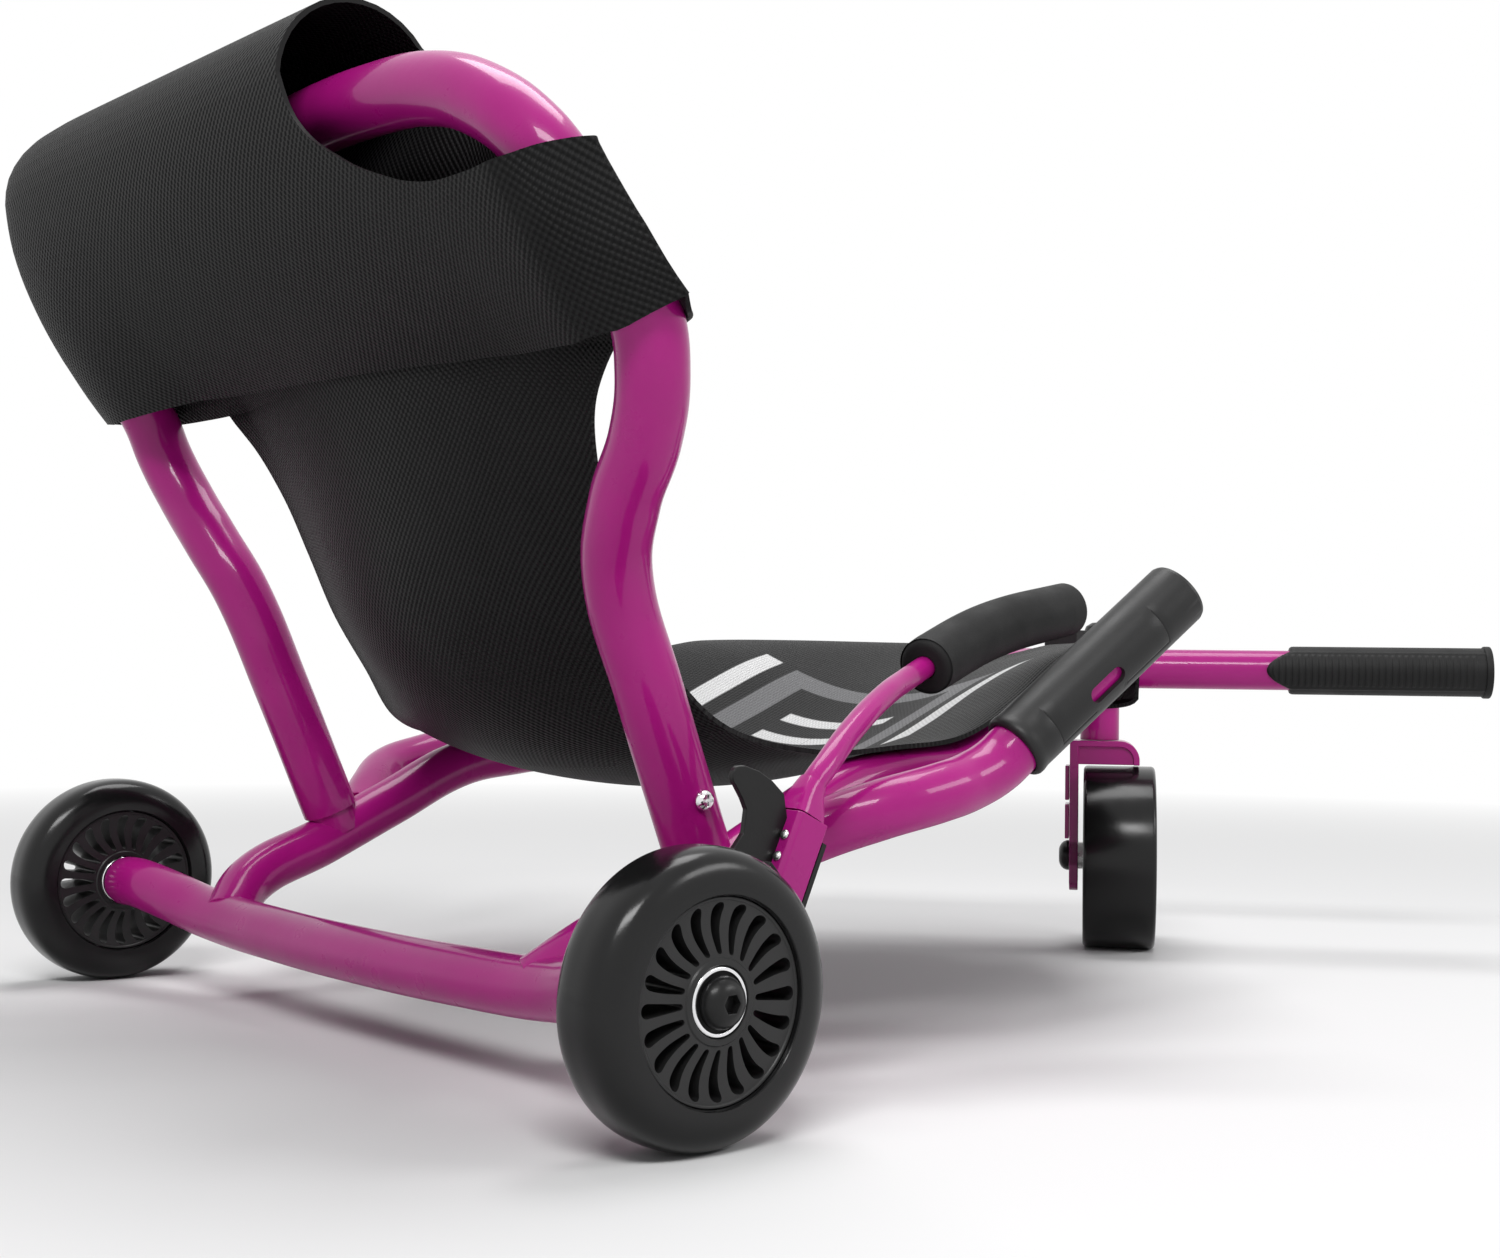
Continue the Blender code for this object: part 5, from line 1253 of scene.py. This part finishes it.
def brake_plate():
    """Hooked plate with its flange, shoe and three rivets."""
    sheet = 0.003
    inside = CHANNEL_BACK - CHANNEL_WALL - GAP - sheet
    foot_low = 0.007
    foot_high = CHANNEL_ABOVE - CHANNEL_WALL - 0.001
    axle = (-PIN[0], sizes().rear_wheel - PIN[2])
    outline = [leaned(inside, foot_low), leaned(inside, foot_high), leaned(CHANNEL_BACK, foot_high)]
    outline += PLATE_OUTLINE + arc((-0.0175, 0.0585), 0.0047, 110, 230, 11)
    shoe_from, shoe_to = SHOE_SPAN
    outline += PLATE_REAR + arc(axle, SHOE_RADIUS - 0.0008, shoe_to, shoe_from, 9)
    outline += [leaned(CHANNEL_BACK + 0.003, foot_low), leaned(CHANNEL_BACK, foot_low)]
    middle = -0.001
    plate = placed(slab(outline, -sheet / 2, sheet / 2), BRAKE, matrix_of((middle, 0, 0), -Y, Z))
    flange_edge, flange_front, flange_back = -0.0072, inside + GAP, 0.0052
    flange = slab([
        (flange_edge, flange_front), (middle, flange_front), (middle, flange_back),
        (flange_edge, flange_back)], foot_low + 0.001, foot_high - 0.001)
    make_piece(
        "hook_plate", joined(plate, placed(flange, BRAKE, LEANING)), "black_steel", "brake_lever",
        "brake_plate", bevel=0.0005)
    shoe = arc(axle, SHOE_RADIUS, shoe_from, shoe_to, 17)
    shoe += arc(axle, SHOE_RADIUS + SHOE_THICKNESS, shoe_to, shoe_from, 17)
    shoe_inner = middle - sheet / 2 - GAP
    shoe_outer = -0.266 - PIN[1]
    centre = (shoe_inner + shoe_outer) / 2
    half = (shoe_inner - shoe_outer) / 2
    make_piece(
        "shoe_pad", placed(slab(shoe, -half, half), BRAKE, matrix_of((centre, 0, 0), -Y, Z)),
        "shoe_rubber", "brake_lever", "brake_shoe", bevel=0.0006)
    top = CHANNEL_BACK + GAP
    quarter = np.linspace(0, math.pi / 2, 9)
    dome = [(0.0023 * math.sin(a), top + 0.0014 * math.cos(a)) for a in quarter]
    rivet = lathe(dome + [(0.0012, top), (0.0012, inside + 0.001), (0, inside + 0.001)], 32)
    for k in range(3):
        place = matrix_of((-0.0050, 0, foot_low + 0.005 + 0.010 * k), X, -Z)
        make_piece(
            "rivet_head_" + str(k + 1), placed(rivet, BRAKE, LEANING, place), "zinc_steel",
            "brake_lever", "brake_rivet_" + str(k + 1))


# Sling

def row_values(share):
    """Smooth values of SLING_ROWS at each share of the way: a cubic through the four nearest."""
    place = np.asarray(share) * (len(SLING_ROWS) - 1)
    k = np.minimum(place.astype(int), len(SLING_ROWS) - 2)
    t = (place - k)[:, None]
    a = SLING_ROWS[np.maximum(k - 1, 0)]
    b = SLING_ROWS[k]
    c = SLING_ROWS[k + 1]
    d = SLING_ROWS[np.minimum(k + 2, len(SLING_ROWS) - 1)]
    return b + 0.5 * t * (c - a + t * (2 * a - 5 * b + 4 * c - d + t * (3 * (b - c) + d - a)))


def bag_middle(share):
    """Distance ahead of the pocket's middle, from its hem (0) to the middle of its roll (1)."""
    return BAG_START - BAG_LEAN * (1 - (1 - np.minimum(share, 1)) ** BAG_LEAN_POWER)


def bag_width(u, height):
    """Place across the pocket; its two halves have their own width at each height."""
    right = np.interp(height, BAG_HEIGHTS, BAG_RIGHT)
    left = np.interp(height, BAG_HEIGHTS, BAG_LEFT)
    return u * np.where(u < 0, right, left)


def bag_closing(u, share):
    """Share of the pocket's depth: 0 at its side edges and 1 between them.

    The rider's left side is (1 - |u|^n)^(1/n), with n from 7 at the hem to 10 at the roll.
    On the right the two sheets leave their side seam at an angle and wrap the leg.
    """
    power = 7 + 3 * share
    left = (1 - np.minimum(np.abs(u), 1) ** power) ** (1 / power)
    right = np.sin(np.pi / 2 * np.clip((1 - np.abs(u)) * BAG_HALF / 0.036, 0, 1))
    return np.where(u < 0, right, left)


def bag_front(u):
    """Depth of the front sheet at the roll: it lies close to the leg on the rider's right."""
    share = np.clip((-u - 0.42) / 0.36, 0, 1)
    return BAG_FRONT[1] - 0.028 * share * share * (3 - 2 * share)


def bag_sheet(u, side, height):
    """(ahead, left, up) of one sheet of the back pocket; side -1 is the rear, +1 the front.

    The rear sheet is drawn in to the seat between the legs at its hem.
    """
    share = (height - BAG_BOTTOM) / (BAG_TOP - BAG_BOTTOM)
    closing = bag_closing(u, share)
    sag = BAG_SAG * np.maximum(0, 1 - (u / 0.62) ** 2) * (1 - share)
    low = height - np.interp(u, HEM_PLACES, HEM_DROPS) * (1 - share) ** 2
    if side > 0:
        depth = blend(BAG_FRONT[0], bag_front(u), share) * closing - sag
        low = blend(height, low, np.clip((np.abs(u) - 0.96) / 0.04, 0, 1))
    else:
        rear = blend(BAG_REAR[0], BAG_REAR[1], share) * closing
        tucked = sag + 0.0045 - BAG_FRONT[0]
        inward = np.maximum(0, 1 - (u / 0.86) ** 2) ** 1.5 * (1 - share) ** 2
        depth = -blend(rear, tucked, inward)
    return np.stack(np.broadcast_arrays(
        bag_middle(share) + depth, bag_width(u, height), low), axis=-1)


def bag_roll(u, angle):
    """Round top of the pocket, from the rear sheet (0) to the front one (pi).

    It is an ellipse that grows 5 mm taller towards the rider's left.
    """
    closing = bag_closing(u, 1.0)
    reach = (bag_front(u) + BAG_REAR[1]) / 2 * closing
    centre = bag_middle(1) + (bag_front(u) - BAG_REAR[1]) / 2 * closing
    rise = (0.0425 + 0.0055 * np.clip((u + 0.3) / 1.1, 0, 1)) * closing ** 0.6
    up = BAG_TOP + rise * np.sin(angle)
    return np.stack(np.broadcast_arrays(
        centre - reach * np.cos(angle), bag_width(u, up), up), axis=-1)


def seat_sheet(u, share):
    """(ahead, left, up) of the open sling; u runs from -1 to 1 between its free edges."""
    rows = row_values(share)
    sag = (1 - u * u) ** rows[:, 5:6]
    return np.stack([
        blend(rows[:, :1], rows[:, 3:4], sag), rows[:, 2:3] * u, blend(rows[:, 1:2], rows[:, 4:5], sag)],
        axis=-1)


def lengths(points):
    """Distance walked along the first direction of a grid."""
    step = np.linalg.norm(np.diff(points, axis=0), axis=-1)
    return np.vstack([np.zeros((1, points.shape[1])), np.cumsum(step, axis=0)])


def closed_spline(outline, steps=10):
    """The outline, smooth from its second point to its third last and straight round the rest."""
    points = np.array(outline)
    open_part = smooth_route(points[1:-2], steps)
    return np.vstack([points[:1], open_part, points[-2:]])


def cutter_of(name, outline, origin, x, y, half):
    """Prism that cuts an outline out of the sling."""
    mesh = new_mesh(name, placed(slab(outline, -half, half), matrix_of(origin, x, y)))
    work = bmesh.new()
    work.from_mesh(mesh)
    bmesh.ops.recalc_face_normals(work, faces=work.faces)
    work.to_mesh(mesh)
    work.free()
    return new_object(name, mesh)


def sling():
    """One cloth: the pocket over the back, the seat, and the pocket over the front rails."""
    columns = 61
    inner = SLING_ROWS[0, 2] / BAG_HALF
    near_edge = np.sin(np.linspace(-np.pi / 2, np.pi / 2, columns))
    seat_u = 0.6 * near_edge + 0.4 * np.linspace(-1, 1, columns)
    outside = inner + (1 - inner) * (1 - (1 - np.linspace(0, 1, 22)[1:]) ** 2.4)
    u = np.concatenate([-outside[::-1], seat_u * inner, outside])
    free = slice(len(outside), len(outside) + columns)
    rise = np.linspace(BAG_BOTTOM, BAG_TOP, 19)[:, None]
    turn = np.linspace(0, np.pi, 19)[1:-1][:, None]
    bag = np.concatenate([
        bag_sheet(u[None], -1, rise), bag_roll(u[None], turn), bag_sheet(u[None], 1, rise[::-1])])
    steps = 8
    spans = len(SLING_ROWS) - 1
    share = np.linspace(0, 1, spans * steps + 1)
    seat = seat_sheet(seat_u[None], share)
    ease = np.clip(1 - share * spans / 2, 0, 1) ** 2
    seat += (bag[-1, free] - seat[0])[None] * ease[:, None, None]
    under = seat[POCKET_START * steps:].copy()
    fall = POCKET_DEPTH * ((1 - np.abs(seat_u) ** 12) ** (1 / 12))[None]
    under[..., 2] = np.minimum(under[..., 2], under[:, :1, 2] - 0.002) - fall
    under[:, (0, -1)] = seat[POCKET_START * steps:][:, (0, -1)]
    nose = np.linspace(0, 1, 9)[:, None, None]
    fold = blend(seat[-1:], under[-1:], nose)
    bag_world, seat_world, under_world, fold_world = map(world, (bag, seat, under, fold))
    parts, maps = [], []
    down = lengths(bag_world)
    start = down[-1, free]
    seat_down = start[None] + lengths(seat_world)
    under_down = seat_down[POCKET_START * steps:] + 0.05
    fold_down = seat_down[-1:] + lengths(fold_world)
    for grid, along in zip(
            (bag_world, seat_world, under_world, fold_world), (down, seat_down, under_down, fold_down)):
        parts.append((grid.reshape(-1, 3), grid_faces(*grid.shape[:2])))
        across = lengths(grid.transpose(1, 0, 2)).T
        across = across - across[:, across.shape[1] // 2:across.shape[1] // 2 + 1]
        maps.append(np.stack([across, along], axis=-1).reshape(-1, 2))
    piece = make_piece(
        "sling", joined(*parts), "sling_fabric", "frame", "sling_seat", uv=np.vstack(maps),
        sharp=60)
    piece.data.materials.append(seat_cloth())
    body = piece.modifiers.new("thickness", "SOLIDIFY")
    body.thickness = sizes().cloth
    body.offset = 0
    notch_half, notch_end = 0.0300, -0.08
    notch = arc((0, 0.004), notch_half, 0, 180, 41)
    notch += [(-notch_half, notch_end), (notch_half, notch_end)]
    tools = [
        cutter_of("cut_rear", closed_spline(REAR_WINDOW), world((-0.123, 0, 0)), X, Z, 0.10),
        cutter_of("cut_front", closed_spline(FRONT_WINDOW), world((0.072, 0, 0)), X, Z, 0.10),
        cutter_of("cut_notch", notch, world((0.518, 0, 0.19)), X, Y, 0.06)]
    for tool in tools:
        step = piece.modifiers.new(tool.name, "BOOLEAN")
        step.operation = "DIFFERENCE"
        step.solver = "EXACT"
        step.use_self = True
        step.object = tool
    graph = bpy.context.evaluated_depsgraph_get()
    done = bpy.data.meshes.new_from_object(piece.evaluated_get(graph))
    piece.modifiers.clear()
    piece.data = done
    for tool in tools:
        bpy.data.objects.remove(tool)
    centre = face_centres(done)
    on_seat = (centre[:, 1] < AXLE_Y - 0.12) & (centre[:, 2] < 0.24)
    done.polygons.foreach_set("material_index", on_seat.astype(np.int32))
    done.shade_smooth()
    done.set_sharp_from_angle(angle=math.radians(50))


def small_hardware():
    """Finishes of the packed pieces that keep their own shape."""
    shown = {
        "zinc_steel": [
            "rear_spacer_left", "rear_spacer_right", "rear_washer_left", "rear_washer_right",
            "front_spacer", "front_washer", "front_axle_nut", "brake_spring"],
        "black_steel": ["brake_bracket"],
        "bush_bronze": ["head_bush_lower", "head_bush_upper"],
    }
    for slot, names in shown.items():
        for name in names:
            for place in frame["nodes"][name].material_slots:
                place.material = FINISHES[slot]


# Studio

def seen_directly(tree):
    """1 for rays from the camera, a mirror or clear material, and 0 for light on the object."""
    path = tree.nodes.new("ShaderNodeLightPath")
    seen = maths(tree, "MAXIMUM", path.outputs["Is Camera Ray"], path.outputs["Is Glossy Ray"])
    return maths(tree, "MAXIMUM", seen, path.outputs["Is Transmission Ray"])


def mixed_output(tree, kind, share, first, second):
    """Output node of a given kind, fed by a mix of two shaders."""
    mix = node(tree, "ShaderNodeMixShader", Fac=share)
    tree.links.new(first.outputs[0], mix.inputs[1])
    tree.links.new(second.outputs[0], mix.inputs[2])
    out = tree.nodes.new(kind)
    tree.links.new(mix.outputs[0], out.inputs["Surface"])


def floor_finish():
    """Pale floor that fades to plain white with distance from the object."""
    finish = bpy.data.materials.new("studio_floor")
    finish.use_nodes = True
    tree = finish.node_tree
    tree.nodes.clear()
    place = tree.nodes.new("ShaderNodeTexCoord").outputs["Object"]
    distance = node(tree, "ShaderNodeVectorMath", Vector=place)
    distance.operation = "LENGTH"
    cloud = noise(tree, place, 1.4, 2.0)
    floor = colours().floor
    tone = mixed(tree, cloud, opaque(floor, 0.985), opaque(floor, 1.01))
    matt = node(tree, "ShaderNodeBsdfDiffuse", Color=tone)
    glow = node(tree, "ShaderNodeEmission", Color=(1, 1, 1, 1), Strength=1.0)
    far = spread(tree, distance.outputs["Value"], 0.7, 2.2, 0.0, 1.0)
    share = maths(tree, "MULTIPLY", far, seen_directly(tree), clamp=True)
    mixed_output(tree, "ShaderNodeOutputMaterial", share, matt, glow)
    return finish


def area_lamp(name, place, aim, size, power):
    """Soft rectangular lamp turned towards a point."""
    light = bpy.data.lights.new(name, "AREA")
    light.shape = "RECTANGLE"
    light.size, light.size_y = size
    light.energy = power
    lamp = new_object(name, light)
    lamp.location = place
    lamp.rotation_euler = (Vector(aim) - Vector(place)).to_track_quat("-Z", "Y").to_euler()


def studio():
    """White floor and surround, three soft lamps and the photo's camera."""
    scene = bpy.context.scene
    scene.view_settings.view_transform = "Standard"
    count = 13
    span = np.linspace(-9, 9, count)
    grid = np.stack(np.meshgrid(span, span, indexing="ij") + [np.zeros((count, count))], axis=-1)
    floor = new_object("floor", new_mesh("floor", (grid.reshape(-1, 3), grid_faces(count, count))))
    floor.data.materials.append(floor_finish())
    world_light = bpy.data.worlds.new("studio")
    scene.world = world_light
    world_light.use_nodes = True
    tree = world_light.node_tree
    tree.nodes.clear()
    bright = node(tree, "ShaderNodeBackground", Color=(1, 1, 1, 1), Strength=1.0)
    soft = node(tree, "ShaderNodeBackground", Color=(0.98, 0.98, 1, 1), Strength=0.28)
    mixed_output(tree, "ShaderNodeOutputWorld", seen_directly(tree), soft, bright)
    for lamp in LAMPS:
        area_lamp(*lamp)
    camera = bpy.data.cameras.new("camera")
    camera.lens = CAMERA_LENS
    camera.sensor_width = 36
    viewer = new_object("camera", camera)
    viewer.location = CAMERA_PLACE
    viewer.rotation_euler = [math.radians(value) for value in CAMERA_TURN]
    scene.camera = viewer


# Add-on

def make_operator(key, label, text, action):
    """Operator class that runs one of the builders above."""
    def execute(self, context):
        action()
        return {"FINISHED"}
    return type("DRIFTER_OT_" + key, (bpy.types.Operator,), {
        "__doc__": text, "bl_idname": "drifter." + key, "bl_label": label,
        "bl_options": {"REGISTER", "UNDO"}, "execute": execute})


OPERATORS = [
    make_operator("finishes", "Finishes", "Make every finish of the object", make_finishes),
    make_operator("tubes", "Frame tubes", "Build the painted tubes of the frame", frame_tubes),
    make_operator("back_bolts", "Back bolts", "Build the two bolts of the back loop", back_bolts),
    make_operator("sleeves", "Hand sleeves", "Build the slotted sleeves of the handles", handle_sleeves),
    make_operator("rear_wheels", "Rear wheels", "Build both rear wheels with their bolts", rear_wheels),
    make_operator("front_wheel", "Front wheel", "Build the front wheel with its bolt", front_wheel),
    make_operator("head", "Steering head", "Build the yoke, its bolt, the bar and the post", head),
    make_operator("foot_grips", "Foot grips", "Build the ribbed grips of the foot bar", foot_grips),
    make_operator("fork", "Fork", "Build the single-sided fork", fork),
    make_operator("hand_brake", "Hand brake", "Build the hand brake", hand_brake),
    make_operator("sling", "Sling", "Build the sling seat with its two pockets", sling),
    make_operator("hardware", "Small hardware", "Finish the packed small parts", small_hardware),
    make_operator("studio", "Studio", "Build the floor, the lamps and the camera", studio),
]


class DRIFTER_PT_panel(bpy.types.Panel):
    """Panel that lists the drifter's sizes, colours and builders."""
    bl_label = "Drifter"
    bl_idname = "DRIFTER_PT_panel"
    bl_space_type = "VIEW_3D"
    bl_region_type = "UI"
    bl_category = "Drifter"

    def draw(self, context):
        for group in (context.scene.drifter_sizes, context.scene.drifter_colours):
            column = self.layout.column()
            for key in group.__annotations__:
                column.prop(group, key)
        for operator in OPERATORS:
            self.layout.operator(operator.bl_idname)


CLASSES = [DrifterSizes, DrifterColours] + OPERATORS + [DRIFTER_PT_panel]


def register():
    for item in CLASSES:
        bpy.utils.register_class(item)
    bpy.types.Scene.drifter_sizes = PointerProperty(type=DrifterSizes)
    bpy.types.Scene.drifter_colours = PointerProperty(type=DrifterColours)


def unregister():
    del bpy.types.Scene.drifter_colours
    del bpy.types.Scene.drifter_sizes
    for item in CLASSES[::-1]:
        bpy.utils.unregister_class(item)


def main():
    register()
    for operator in OPERATORS:
        getattr(bpy.ops.drifter, operator.bl_idname.split(".")[1])()


if __name__ == "__main__":
    main()
